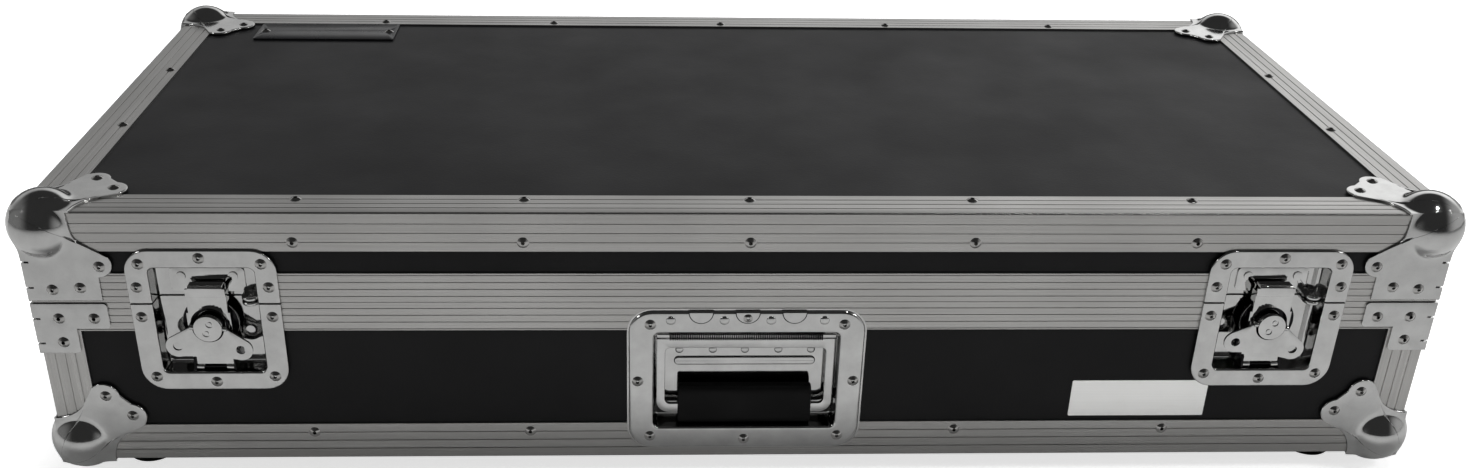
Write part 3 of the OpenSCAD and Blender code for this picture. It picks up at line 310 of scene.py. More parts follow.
@dataclass(frozen=True)
class OpenFoam(Finish):
    """Open-cell foam: soft and dull, full of pores that catch no light."""

    pore_mm: float = 1.3
    depth_mm: float = 0.5
    sheen: float = 0.15

    def build(self) -> Any:
        """Makes the material.

        Height and colour: the distance to the nearest of random pores.

        Returns:
            The material.
        """
        material, tree, shader, where = self.start()
        pores = add_node(tree, "TexVoronoi", {"Scale": 1 / (self.pore_mm * MM)}, Vector=where)
        self.vary(tree, shader, pores.outputs["Distance"])
        shader.inputs["Sheen Weight"].default_value = self.sheen
        self.raise_by(tree, shader, pores.outputs["Distance"], self.depth_mm * MM, 0.8)
        return material


@dataclass(frozen=True)
class LoopCarpet(Finish):
    """Low loop carpet: tufts in close rows, with a dusty sheen on their tops."""

    tuft_mm: float = 2.4
    fibre_mm: float = 0.35
    depth_mm: float = 0.9
    sheen: float = 0.3

    def build(self) -> Any:
        """Makes the material.

        Height: fibre noise less the distance to the nearest tuft. Colour: the fibres.

        Returns:
            The material.
        """
        material, tree, shader, where = self.start()
        tufts = add_node(tree, "TexVoronoi", {"feature": "SMOOTH_F1", "Randomness": 0.55,
                                              "Scale": 1 / (self.tuft_mm * MM)}, Vector=where)
        fibre = add_node(tree, "TexNoise", {"Scale": 1 / (self.fibre_mm * MM), "Detail": 3.0},
                         Vector=where)
        height = add_node(tree, "Math", {"operation": "MULTIPLY_ADD", 1: -1.0},
                          i0=tufts.outputs["Distance"], i2=fibre.outputs["Fac"])
        self.vary(tree, shader, fibre.outputs["Fac"])
        shader.inputs["Sheen Weight"].default_value = self.sheen
        self.raise_by(tree, shader, height.outputs["Value"], self.depth_mm * MM, 0.9)
        return material


@dataclass(frozen=True)
class BirchPly(Finish):
    """Bare birch plywood: pale, with long soft figure along the sheet."""

    figure_mm: float = 16.0
    depth_mm: float = 0.15

    def build(self) -> Any:
        """Makes the material.

        Height and colour: one rough noise, stretched along the sheet.

        Returns:
            The material.
        """
        material, tree, shader, where = self.start()
        long_way = add_node(tree, "Mapping", {"Scale": (0.08, 1.0, 1.0)}, Vector=where)
        figure = add_node(tree, "TexNoise", {"Scale": 1 / (self.figure_mm * MM), "Detail": 8.0,
                                             "Roughness": 0.62}, Vector=long_way.outputs["Vector"])
        self.vary(tree, shader, figure.outputs["Fac"])
        self.raise_by(tree, shader, figure.outputs["Fac"], self.depth_mm * MM, 0.4)
        return material


FINISHES: dict[str, Finish] = {
    # Pressed between textured plates: an even black pebble that only greys in the light
    "laminate": Laminate("laminate_phenolic_black", "#101011", "#0C0C0D", spread=0.04),
    # Extruded and left bare: fine lines along each length, satin rather than bright
    **{f"alu_{axis}": DrawnMetal(f"aluminium_extruded_{axis}", "#ABAAA8", "#999896", 1.0, 0.3,
                                 0.05, run) for axis, run in zip("xyz", Run)},
    # Zinc plated strip: a coarser grain and a duller grey than the aluminium
    "zinc": DrawnMetal("steel_zinc_plated", "#A6A5A1", "#908F8B", 1.0, 0.3, 0.06, line_mm=1.5),
    # Deep drawn and nickel plated: bright, a little soft where the steel was stretched
    "corner": PlatedSteel("steel_pressed_nickel_plated", "#B4B4B3", "#A6A6A5", 1.0, 0.11, 0.03),
    # Shallow pressings, polished and plated: near mirrors with broad waves
    "dish": PlatedSteel("steel_pressed_bright_plated", "#B7B7B6", "#A9A9A8", 1.0, 0.07, 0.03),
    # Small stamped parts in chrome: the clearest mirrors, hardly waved
    "fitting": PlatedSteel("steel_stamped_chromed", "#BCBCBB", "#ADADAC", 1.0, 0.06, 0.02,
                           wave_mm=15.0, wave=0.14),
    # Rivets plated loose in a barrel: duller than what they hold
    "rivet": PlatedSteel("steel_rivet_plated", "#A8A7A5", "#8F8E8C", 1.0, 0.14, 0.04,
                         wave_mm=8.0, wave=0.1),
    # Chemically blackened and oiled: dark with a tight sheen
    "cam": Moulded("steel_cam_blackened", "#141316", "#0B0A0C", 0.7, 0.24, 0.08,
                   grain_mm=0.6, depth_mm=0.02),
    # Moulded rubber: takes nearly all light, with soft dull highlights
    "rubber": Moulded("rubber_moulded_black", "#060606", "#040404", 0.0, 0.5, 0.08,
                      grain_mm=0.7, depth_mm=0.08, gloss=0.14),
    # Cut foam: open pores with hardly a highlight
    "foam": OpenFoam("foam_open_cell_charcoal", "#2B2B2E", "#17171A", 0.0, 0.95, 0.03),
    # Tufted loops: dark between the rows, dusty on top
    "carpet": LoopCarpet("carpet_loop_grey", "#3A3A3D", "#232326", 0.0, 0.95, 0.03),
    # Peeled veneer, left bare: pale, with a long soft figure
    "ply": BirchPly("plywood_birch_bare", "#C9A877", "#B08C5B", 0.0, 0.6, 0.08),
    # Rolled foil on paper: pale, with very fine lines
    "foil": DrawnMetal("label_foil_silver", "#F2F2F0", "#EAEAE8", 0.9, 0.36, 0.05, line_mm=0.5),
    # Moulded in a polished tool: smooth black with a clear highlight
    "badge": Moulded("badge_plastic_black", "#19191B", "#101011", 0.0, 0.28, 0.05,
                     grain_mm=1.0, depth_mm=0.02),
}
MATERIALS: dict[str, Any] = {}
NODES: dict[str, Any] = {}


def finish(key: str) -> Any:
    """Returns a finish's material, made once."""
    if key not in MATERIALS:
        MATERIALS[key] = FINISHES[key].build()
    return MATERIALS[key]


# ---------------------------------------------------------------- surfaces

# How far a stadium's end falls short of a half circle, so that no side has no length
STADIUM_SLACK = 1e-5


def grid_faces(rows: int, columns: int, wrap: bool = False) -> Array:
    """Quads of a grid of points stored row by row.

    Args:
        rows: Number of rows.
        columns: Number of points in a row.
        wrap: Whether the last column joins the first.

    Returns:
        An array of four indices a face.
    """
    across = columns if wrap else columns - 1
    i, j = np.meshgrid(np.arange(rows - 1), np.arange(across), indexing="ij")
    here, beyond, k = i * columns, (i + 1) * columns, (j + 1) % columns
    return np.stack([here + j, here + k, beyond + k, beyond + j], -1).reshape(-1, 4)


def make_mesh(name: str, points: Array, faces: Array | Sequence,
              outward: Sequence[float] | None = None, weld: float = 1e-6) -> Any:
    """Makes an object from points and faces, merged, smooth and facing outwards.

    Args:
        name: The piece's name.
        points: An array of x, y, z.
        faces: Rows of indices.
        outward: The way that an open sheet faces; a closed piece needs none.
        weld: Points closer than this are merged.

    Returns:
        The new object, at the origin.
    """
    mesh = bpy.data.meshes.new(name)
    mesh.from_pydata(points.reshape(-1, 3).tolist(), [], np.asarray(faces).tolist())
    shape = bmesh.new()
    shape.from_mesh(mesh)
    bmesh.ops.remove_doubles(shape, verts=shape.verts, dist=weld)
    bmesh.ops.dissolve_degenerate(shape, edges=shape.edges, dist=weld)
    bmesh.ops.recalc_face_normals(shape, faces=shape.faces)
    shape.to_mesh(mesh)
    shape.free()
    if outward is not None:
        count = len(mesh.polygons)
        normals, areas = np.empty(count * 3), np.empty(count)
        mesh.polygons.foreach_get("normal", normals)
        mesh.polygons.foreach_get("area", areas)
        if (normals.reshape(-1, 3) * areas[:, None]).sum(0) @ np.asarray(outward, float) < 0:
            mesh.flip_normals()
    mesh.shade_smooth()
    made = bpy.data.objects.new(name, mesh)
    bpy.context.scene.collection.objects.link(made)
    return made


def crease(made: Any, degrees: float = 38.0) -> None:
    """Keeps edges sharper than the given angle sharp in the shading."""
    split = made.modifiers.new("crease", "EDGE_SPLIT")
    split.split_angle = math.radians(degrees)


def thicken(made: Any, thickness: float) -> None:
    """Gives a pressed sheet its wall, inwards from its outer face."""
    wall = made.modifiers.new("wall", "SOLIDIFY")
    wall.thickness = thickness
    wall.offset = -1.0
    wall.use_even_offset = False
    crease(made)


def cut_out(made: Any, planes: Sequence[tuple[Sequence[float], Sequence[float]]],
            gone: Callable[[Vector], bool], near: Callable[[Vector], bool] | None = None) -> None:
    """Cuts a piece along planes and deletes the faces whose middle is in what goes.

    Args:
        made: The piece.
        planes: A point and a normal for each cut.
        gone: Takes a face's middle and says whether the face goes.
        near: Takes a face's middle and says whether the cuts reach it.
    """
    shape = bmesh.new()
    shape.from_mesh(made.data)
    for point, way in planes:
        faces = [f for f in shape.faces if near is None or near(f.calc_center_median())]
        parts = {part for f in faces for part in (*f.verts, *f.edges)}
        bmesh.ops.bisect_plane(shape, geom=[*faces, *parts], dist=1e-7,
                               plane_co=point, plane_no=way)
    doomed = [f for f in shape.faces if gone(f.calc_center_median())]
    bmesh.ops.delete(shape, geom=doomed, context="FACES")
    shape.to_mesh(made.data)
    shape.free()


def rounded_ring(half: Array, r: float, arc: int, straight: int) -> Array:
    """A rounded rectangle about the origin: four arcs joined by divided straight sides.

    Args:
        half: Half its width and half its height.
        r: Radius of its corners.
        arc: Points in each arc.
        straight: Points inside each straight side.

    Returns:
        Points of two coordinates, anticlockwise.
    """
    turn = np.linspace(0, QUARTER, arc)
    quarter = np.stack([np.cos(turn), np.sin(turn)], 1) * r
    arcs = []
    for k, sign in enumerate(((1, 1), (-1, 1), (-1, -1), (1, -1))):
        c, s = math.cos(k * QUARTER), math.sin(k * QUARTER)
        arcs.append(quarter @ np.array([[c, s], [-s, c]]) + np.array(sign) * (half - r))
    part = np.linspace(0, 1, straight + 2)[1:-1, None]
    sides = [a[-1] + (b[0] - a[-1]) * part for a, b in zip(arcs, arcs[1:] + arcs[:1])]
    return np.concatenate([points for pair in zip(arcs, sides) for points in pair])


def raised_plate(name: str, outline: Array, low: float, high: float, edge: float) -> Any:
    """A flat plate on the front: an outline carried up, over a rounded edge, to its middle.

    As a goes over a quarter turn, the outline moves in by edge times 1 - cos a and
    out by edge times sin a; the top and the foot close on the outline's middle.

    Args:
        name: The piece's name.
        outline: Points x, z, anticlockwise.
        low: The y of its foot.
        high: The y of its top, nearer the viewer.
        edge: Radius of its edge.

    Returns:
        The plate.
    """
    middle = outline.mean(0)
    along = np.roll(outline, -1, 0) - np.roll(outline, 1, 0)
    away = np.stack([along[:, 1], -along[:, 0]], 1) / np.linalg.norm(along, axis=1, keepdims=True)
    rows = [(outline * 0 + middle, low), (outline, low)]
    for a in np.linspace(0, QUARTER, 5):
        rows.append((outline - away * edge * (1 - math.cos(a)), high + edge * (1 - math.sin(a))))
    last = rows[-1][0]
    rows += [(middle + (last - middle) * part, high) for part in (0.6, 0.3, 0.0)]
    points = np.stack([np.column_stack([xz[:, 0], np.full(len(xz), y), xz[:, 1]])
                       for xz, y in rows])
    made = make_mesh(name, points, grid_faces(len(rows), len(outline), True))
    crease(made)
    return made


def lathe(name: str, profile: Sequence[tuple[float, float]], centre: Sequence[float],
          rays: int) -> Any:
    """Turns a profile about an axis along Y.

    Each point is the centre plus the radius times (cos a, 0, sin a), less its distance
    along Y.

    Args:
        name: The piece's name.
        profile: Pairs of a radius and a distance out of the front.
        centre: A point on the axis.
        rays: Points in each ring.

    Returns:
        The turned piece.
    """
    r, out = (column[:, None] for column in np.array(profile).T)
    a = np.linspace(0, math.tau, rays, endpoint=False)
    x, y, z = centre
    points = np.stack([x + r * np.cos(a), y - out + 0 * a, z + r * np.sin(a)], -1)
    made = make_mesh(name, points, grid_faces(len(r), rays, True))
    crease(made)
    return made


def dome(name: str, r: float, height: float, centre: Sequence[float]) -> Any:
    """A low dome: radius r sin t and height times cos t, closed just under its foot.

    Args:
        name: The piece's name.
        r: Its radius.
        height: Its height.
        centre: The middle of its foot.

    Returns:
        The dome.
    """
    profile = [(r * math.sin(t), height * math.cos(t)) for t in np.linspace(0, QUARTER, 8)]
    under = -0.1 * MM
    return lathe(name, [*profile, (r, under), (0.0, under)], centre, 24)


def slab(name: str, u: Array, v: Array, near: Array, far: Array, order: Sequence[int]) -> Any:
    """A closed slab between two height fields over one grid, joined round its border.

    Args:
        name: The piece's name.
        u, v: The grid's lines.
        near, far: The two faces' places along the slab's thickness.
        order: Which of u, v and the thickness is x, y and z.

    Returns:
        The slab.
    """
    uu, vv = np.meshgrid(u, v, indexing="ij")
    points = np.concatenate([np.stack([(uu, vv, face)[k] for k in order], -1).reshape(-1, 3)
                             for face in (near, far)])
    index = np.arange(uu.size).reshape(uu.shape)
    border = np.concatenate([index[:-1, 0], index[-1, :-1], index[:0:-1, -1], index[0, :0:-1]])
    after = np.roll(border, -1)
    quads = grid_faces(*uu.shape)
    faces = np.concatenate([quads, quads[:, ::-1] + uu.size,
                            np.stack([border, after, after + uu.size, border + uu.size], 1)])
    made = make_mesh(name, points, faces)
    crease(made, 50)
    return made


def lines_between(low: float, high: float, pitch: float, round_r: float,
                  steps: Sequence[float] = ()) -> Array:
    """Lines of a grid: even, closer where the edges are rounded, and a pair at each step.

    Args:
        low, high: The first and the last line.
        pitch: About how far apart the even ones are.
        round_r: Radius of the rounded edges.
        steps: Places where the surface jumps.

    Returns:
        The lines' places, in order.
    """
    edge = round_r * np.array([0, 0.08, 0.25, 0.55, 1.0])
    even = np.linspace(low + round_r, high - round_r, max(3, int((high - low) / pitch)))
    pairs = [s + d for s in steps if low < s < high for d in (-0.05 * MM, 0.05 * MM)]
    return np.unique(np.round(np.concatenate([low + edge, high - edge, even, pairs]), 7))


def rounded_drop(u: Array, v: Array, r: float) -> Array:
    """How far a rounded border falls: r less the root of r squared less t squared.

    Here t is how far a point is inside the band of width r along the border.

    Args:
        u, v: The grid's lines.
        r: Radius of the border.

    Returns:
        The fall at each point of the grid.
    """
    du = np.clip(r - np.minimum(u - u[0], u[-1] - u), 0, r)[:, None]
    dv = np.clip(r - np.minimum(v - v[0], v[-1] - v), 0, r)[None, :]
    return r - np.sqrt(np.maximum(r * r - du**2 - dv**2, 0))


def settle(made: Any, key: str, body: str, slot: str, *replaced: str) -> None:
    """Gives a piece its finish and its body, and hides what it stands for.

    Args:
        made: The piece.
        key: The finish.
        body: The body that it rides on.
        slot: Not used.
        *replaced: The nodes that it stands for.
    """
    made.data.materials.clear()
    made.data.materials.append(finish(key))
    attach(made, body)
    if replaced:
        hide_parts(*replaced)
    log.info("%s rides on %s", made.name, body)


def dress(node: str, key: str, round_mm: float = 0.0, steps: int = 2) -> None:
    """Gives a node its finish, and rounds its edges as they are in the metal.

    Args:
        node: The node's name.
        key: The finish.
        round_mm: Radius of its edges, or 0 for edges that stay sharp.
        steps: Segments of the rounding.
    """
    found = NODES[node]
    found.data.materials.clear()
    found.data.materials.append(finish(key))
    found.data.polygons.foreach_set("use_smooth", np.ones(len(found.data.polygons), bool))
    weld = found.modifiers.new("weld", "WELD")
    weld.merge_threshold = 2e-6
    if round_mm:
        bevel = found.modifiers.new("round", "BEVEL")
        bevel.width = round_mm * MM
        bevel.segments = steps
        bevel.limit_method = "ANGLE"
        bevel.angle_limit = math.radians(40)
        bevel.harden_normals = True
    else:
        crease(found, 32)
    log.info("%s dressed in %s", node, key)


# ---------------------------------------------------------------- studio


@dataclass(frozen=True)
class PhotoCamera:
    """The photograph's camera, fitted to the case's edges.

    Attributes:
        frame_px: The photograph's size.
        focal_px: Focal length.
        centre_px: Where the lens's axis meets the picture.
        place: The camera's place in the case's frame.
        yaw, pitch, roll: Its turns, in degrees.
        film_mm: Width of the film.
    """

    frame_px: tuple[int, int] = (1468, 468)
    focal_px: float = 1444.9
    centre_px: tuple[float, float] = (699.0, 269.7)
    place: tuple[float, float, float] = (-0.0798, -1.1462, 0.6416)
    yaw: float = -2.72
    pitch: float = -27.04
    roll: float = -1.24
    film_mm: float = 36.0

    def build(self) -> None:
        """Makes the camera and gives it to the scene."""
        data = bpy.data.cameras.new("photo_camera")
        width, height = self.frame_px
        data.sensor_width = self.film_mm
        data.lens = self.film_mm * self.focal_px / width
        data.shift_x = (width / 2 - self.centre_px[0]) / width
        data.shift_y = (self.centre_px[1] - height / 2) / width
        data.clip_end = 50
        yaw, pitch, roll = (Matrix.Rotation(math.radians(angle), 3, axis) for angle, axis in
                            ((self.yaw, "Z"), (self.pitch, "X"), (self.roll, "Y")))
        turn = yaw @ pitch @ roll
        right, ahead, up = turn.col
        axes = Matrix((right, up, -ahead)).transposed()
        camera = bpy.data.objects.new("photo_camera", data)
        camera.matrix_world = Matrix.Translation(self.place) @ axes.to_4x4()
        bpy.context.scene.collection.objects.link(camera)
        bpy.context.scene.camera = camera


@dataclass(frozen=True)
class Lamp:
    """A soft lamp.

    Attributes:
        name: Its name.
        place: Where it hangs.
        aim: What it faces.
        size: Its width and depth.
        watts: Its power.
        mirrored: Whether the metal mirrors it.
    """

    name: str
    place: tuple[float, float, float]
    aim: tuple[float, float, float]
    size: tuple[float, float]
    watts: float
    mirrored: bool = True

    def build(self) -> None:
        """Hangs the lamp."""
        data = bpy.data.lights.new(self.name, "AREA")
        data.shape = "RECTANGLE"
        data.size, data.size_y = self.size
        data.energy = self.watts
        lamp = bpy.data.objects.new(self.name, data)
        lamp.location = self.place
        lamp.visible_glossy = self.mirrored
        ahead = Vector(self.aim) - Vector(self.place)
        lamp.rotation_euler = ahead.to_track_quat("-Z", "Y").to_euler()
        bpy.context.scene.collection.objects.link(lamp)


@dataclass(frozen=True)
class Studio:
    """A white table in a dim room with one pale wall low behind the case.

    Attributes:
        floor_half: Half the table's side.
        floor_colour: The table's colour.
        glow_seen: What the table adds to the lamps' light for the camera.
        glow_mirrored: What it adds in the metal.
        room_dim: Brightness of the room.
        wall_left, wall_right: Brightness of the pale wall at its two ends.
        side_left, side_right: Brightness of the two side walls.
    """

    floor_half: float = 4.0
    floor_colour: str = "#E8E8E8"
    glow_seen: float = 0.7
    glow_mirrored: float = 0.02
    room_dim: float = 0.05
    wall_left: float = 0.55
    wall_right: float = 1.5
    side_left: float = 0.25
    side_right: float = 0.6

    def build(self) -> None:
        """Makes the floor, the world and the lamps."""
        self.floor()
        self.world()
        for lamp in (
            Lamp("lamp_above", (0.0, 0.35, 1.9), (0, 0, 0), (0.9, 0.5), 33, mirrored=False),
            Lamp("lamp_spot", (0.8, -0.5, 1.8), (0, 0, 0.1), (0.12, 0.12), 2.5),
            Lamp("lamp_left", (-1.7, -0.6, 1.3), (-0.2, 0, 0.1), (0.35, 0.35), 5),
            Lamp("lamp_right", (1.7, -0.6, 1.3), (0.2, 0, 0.1), (0.35, 0.35), 6),
        ):
            lamp.build()

    def floor(self) -> None:
        """A pale table that the camera sees as white, with the case's shadow on it."""
        h = self.floor_half
        corners = np.array([(-h, -h, 0), (h, -h, 0), (h, h, 0), (-h, h, 0)])
        table = make_mesh("studio_floor", corners, [(0, 1, 2, 3)], UP)
        material = bpy.data.materials.new("table_white")
        material.use_nodes = True
        tree = material.node_tree
        shader = tree.nodes["Principled BSDF"]
        shader.inputs["Base Color"].default_value = hex_to_linear(self.floor_colour)
        shader.inputs["Roughness"].default_value = 0.9
        shader.inputs["Specular IOR Level"].default_value = 0.1
        shader.inputs["Emission Color"].default_value = (1, 1, 1, 1)
        rays = add_node(tree, "LightPath").outputs
        mirrored = add_node(tree, "Math", {"operation": "MAXIMUM"}, i0=rays["Is Glossy Ray"],
                            i1=rays["Is Transmission Ray"])
        dim = add_node(tree, "Math", {"operation": "MULTIPLY", 1: self.glow_mirrored},
                       i0=mirrored.outputs["Value"])
        glow = add_node(tree, "Math", {"operation": "MULTIPLY_ADD", 1: self.glow_seen},
                        i0=rays["Is Camera Ray"], i2=dim.outputs["Value"])
        tree.links.new(glow.outputs["Value"], shader.inputs["Emission Strength"])
        table.data.materials.append(material)

    def world(self) -> None:
        """A dim room with a band of pale wall behind; the camera sees it all as white.

        Brightness: a line between the wall's two ends times three smooth steps, plus a
        smooth step times its brightness for each side wall, plus the room.
        """
        world = bpy.data.worlds.new("studio_room")
        bpy.context.scene.world = world
        world.use_nodes = True
        tree = world.node_tree
        ways = add_node(tree, "TexCoord").outputs["Generated"]
        way = add_node(tree, "SeparateXYZ", Vector=ways).outputs
        level = add_node(tree, "MapRange", {"From Min": -0.34, "From Max": 0.45,
                                            "To Min": self.wall_left, "To Max": self.wall_right},
                         Value=way["X"]).outputs["Result"]
        for axis, start, end in (("Y", 0.3, 0.7), ("Z", 0.1, 0.26), ("Z", 0.6, 0.44)):
            part = add_node(tree, "MapRange", {"interpolation_type": "SMOOTHSTEP",
                                               "From Min": start, "From Max": end},
                            Value=way[axis])
            level = add_node(tree, "Math", {"operation": "MULTIPLY"}, i0=level,
                             i1=part.outputs["Result"]).outputs["Value"]
        for end, bright in ((-0.95, self.side_left), (0.95, self.side_right)):
            side = add_node(tree, "MapRange", {"interpolation_type": "SMOOTHSTEP",
                                               "From Min": end * 0.5, "From Max": end,
                                               "To Max": bright}, Value=way["X"])
            level = add_node(tree, "Math", {"operation": "ADD"}, i0=level,
                             i1=side.outputs["Result"]).outputs["Value"]
        room = add_node(tree, "Math", {"operation": "ADD", 1: self.room_dim}, i0=level)
        seen = add_node(tree, "Math", {"operation": "MAXIMUM"}, i0=room.outputs["Value"],
                        i1=add_node(tree, "LightPath").outputs["Is Camera Ray"])
        tree.links.new(seen.outputs["Value"], tree.nodes["Background"].inputs["Strength"])
        tree.nodes["Background"].inputs["Color"].default_value = (1, 1, 1, 1)


# ---------------------------------------------------------------- the case


@dataclass(frozen=True)
class CaseFrame:
    """The case's main places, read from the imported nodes.

    Attributes:
        half_w, half_d: Half the width and the depth over the edge angles.
        low, seam, top: Heights of its underside, its seam and its top.
    """

    half_w: float
    half_d: float
    low: float
    seam: float
    top: float

    @classmethod
    def read(cls) -> CaseFrame:
        """Reads the places from the edge angles and the dishes' split.

        Returns:
            The case's places.
        """
        low_box, high_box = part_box("base_edge_front"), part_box("lid_edge_rear")
        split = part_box("latch_left_lower_dish")[1].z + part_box("latch_left_upper_dish")[0].z
        return cls(high_box[1].x, high_box[1].y, low_box[0].z, split / 2, high_box[1].z)


class Edging:
    """Panels and aluminium edging: the nodes' own shapes with their finishes."""

    def build(self) -> None:
        """Dresses each panel, angle and rim."""
        for name in NODES:
            if name.endswith("_panel"):
                dress(name, "laminate")
            elif "_edge_" in name or "_rim_" in name:
                dress(name, "alu_x" if name.endswith(("front", "rear")) else "alu_y")
        dress("base_corner_angles", "alu_z")
        for name in ("hinge_base_leaves", "hinge_lid_leaves"):
            dress(name, "zinc", 0.2)


@dataclass(frozen=True)
class BallCorners:
    """Pressed ball corners: one sheet over three faces, with a ball raised out of it.

    Attributes:
        case: The case's places.
        sheet: Thickness of the pressed steel.
        ball_r: Radius of the ball.
        ball_in: How far its centre lies inside each face.
        fillet: Softness of the crease where the ball leaves the plates.
        edge: Where a lobed plate's outline leaves the case's edges.
        lobe: The lobe's centre, far and near.
        lobe_r: The lobe's radius.
        roll: Radius of the rolled outline.
        slot: Height of a bend slot and how far it runs onto each face.
        slots_up: Heights of the bend slots over the seam.
        rings, rays: Rings and rays of a plate's grid; a long plate has twice the rays.
        dip: How much of the fillet the crease sinks by.
        fade: How far from the ball's centre its push ends, and over what length.
        hollow_start: How far onto a lobed plate its hollow starts.
        crotch: Half angle of the crotch between two lobes, and its reach in lobe radii.
        long_top, long_start, long_w: The long plate's height beside the ball, where its
            hollow starts, and its width.
        long_lobe, long_lobe_r: Centre and radius of its lobe.
        long_gap: Its gap over the seam.
    """

    case: CaseFrame
    sheet: float = 1.4 * MM
    ball_r: float = 25 * MM
    ball_in: float = 14 * MM
    fillet: float = 3.2 * MM
    edge: float = 39 * MM
    lobe: tuple[float, float] = (56 * MM, 39 * MM)
    lobe_r: float = 11.4 * MM
    roll: float = 0.9 * MM
    slot: tuple[float, float] = (1.5 * MM, 4 * MM)
    slots_up: tuple[float, float] = (12.5 * MM, 32.5 * MM)
    rings: int = 40
    rays: int = 91
    dip: float = 0.175
    fade: tuple[float, float] = (60 * MM, 18 * MM)
    hollow_start: float = 1.5 * MM
    crotch: tuple[float, float] = (0.1, 1.14)
    long_top: float = 36.5 * MM
    long_start: float = 10.6 * MM
    long_w: float = 51.5 * MM
    long_lobe: tuple[float, float] = (51.9 * MM, 41.4 * MM)
    long_lobe_r: float = 10.1 * MM
    long_gap: float = 0.5 * MM

    @staticmethod
    def neck(start: Array, lobe: Array, lobe_r: float) -> tuple[Array, float]:
        """The hollow beside a lobe: a circle that leaves a side at start and touches the lobe.

        The side runs along the first axis, and the circle's centre is start moved by
        its radius along the second.

        Args:
            start: Where the hollow leaves the side.
            lobe: The lobe's centre.
            lobe_r: The lobe's radius.

        Returns:
            The circle's centre and its radius.
        """
        du, dv = lobe - start
        r = (du * du + dv * dv - lobe_r**2) / (2 * (dv + lobe_r))
        return start + np.array([0, r]), r

    @staticmethod
    def hit(way: Array, centre: Sequence[float], r: float, far: bool) -> Array:
        """Distance from the origin to a circle's far or near side along each way.

        Where a way misses the circle, the far distance is 0 and the near one a metre.

        Args:
            way: Unit ways.
            centre: The circle's centre.
            r: Its radius.
            far: Whether its far side is meant.

        Returns:
            A distance for each way.
        """
        along = way @ np.asarray(centre)
        left = r * r - (centre[0] ** 2 + centre[1] ** 2 - along**2)
        half = np.sqrt(np.maximum(left, 0))
        return np.where(left > 0, along + half if far else along - half, 0.0 if far else 1.0)

    def lobed_reach(self, way: Array) -> Array:
        """Outline of the lobed plate: distance from the corner along each way.

        It runs square from the case's edges, then round a hollow, then round two lobes
        with a crotch between them.

        Args:
            way: Unit ways from the corner.

        Returns:
            The outline's distance along each way.
        """
        far, near = self.lobe
        lobe = np.array([near, far])
        centre, r = self.neck(np.array([self.hollow_start, self.edge]), lobe, self.lobe_r)
        touch = centre + (lobe - centre) * r / (r + self.lobe_r)
        angle = np.arctan2(way[:, 1], way[:, 0])
        high = np.arctan2(touch[1], touch[0])
        square = self.edge / np.maximum(way.max(1), 1e-9)
        hollow = np.minimum(self.hit(way, centre, r, False), self.hit(way, centre[::-1], r, False))
        lobes = np.maximum(self.hit(way, lobe, self.lobe_r, True),
                           self.hit(way, lobe[::-1], self.lobe_r, True))
        half, reach = self.crotch
        crotch = np.where(np.abs(angle - math.pi / 4) < half,
                          (far + near + reach * self.lobe_r) / way.sum(1), 0)
        outside = (angle < QUARTER - high) | (angle > high)
        return np.where(outside, np.where(hollow < 1, hollow, square), np.maximum(lobes, crotch))

    def long_reach(self, way: Array) -> Array:
        """Outline of the lid's long plate: a hollow, a lobe, then straight to the seam.

        Args:
            way: Unit ways from the corner.

        Returns:
            The outline's distance along each way.
        """
        lobe, lobe_r = np.array(self.long_lobe), self.long_lobe_r
        end = self.case.top - self.case.seam - self.long_gap
        centre, r = self.neck(np.array([self.long_start, self.long_top]), lobe[::-1], lobe_r)
        centre = centre[::-1]
        touch = centre + (lobe - centre) * r / (r + lobe_r)
        angle = np.arctan2(way[:, 1], way[:, 0])
        across, down = np.maximum(way[:, 0], 1e-9), np.maximum(way[:, 1], 1e-9)
        side = np.minimum(self.long_w / across, end / down)
        upper = np.where(way[:, 1] * self.long_top < way[:, 0] * self.long_start,
                         self.long_top / across, self.hit(way, centre, r, False))
        return np.where(angle < np.arctan2(touch[1], touch[0]), upper,
                        np.maximum(side, self.hit(way, lobe, lobe_r, True)))

    def quarter_reach(self, way: Array) -> Array:
        """Outline of the plate under the base: a quarter circle."""
        return np.full(len(way), self.edge)

    def plate(self, reach: Callable[[Array], Array], rays: int) -> tuple[Array, Array]:
        """A polar grid over a plate: rings towards its outline, the last ones rolled down.

        Over the roll, as a goes over a quarter turn, a ring moves out by roll times
        sin a and drops by roll times 1 - cos a.

        Args:
            reach: The plate's outline.
            rays: Points in each ring.

        Returns:
            Points as u, v and drop below the sheet's outer face, and the faces.
        """
        angle = np.linspace(0, QUARTER, rays)
        way = np.stack([np.cos(angle), np.sin(angle)], 1)
        flat = reach(way) - self.roll
        turn = np.linspace(0, QUARTER, 5)[1:]
        rho = np.concatenate([np.linspace(0, 1, self.rings)[:, None] * flat,
                              flat + self.roll * np.sin(turn)[:, None]])
        drop = np.concatenate([np.zeros(self.rings), self.roll * (1 - np.cos(turn))])
        rho = np.concatenate([rho, rho[-1:]])
        drop = np.append(drop, self.sheet - 0.02 * MM)
        drops = np.broadcast_to(drop[:, None, None], (*rho.shape, 1))
        return np.concatenate([rho[..., None] * way, drops], 2), grid_faces(*rho.shape)

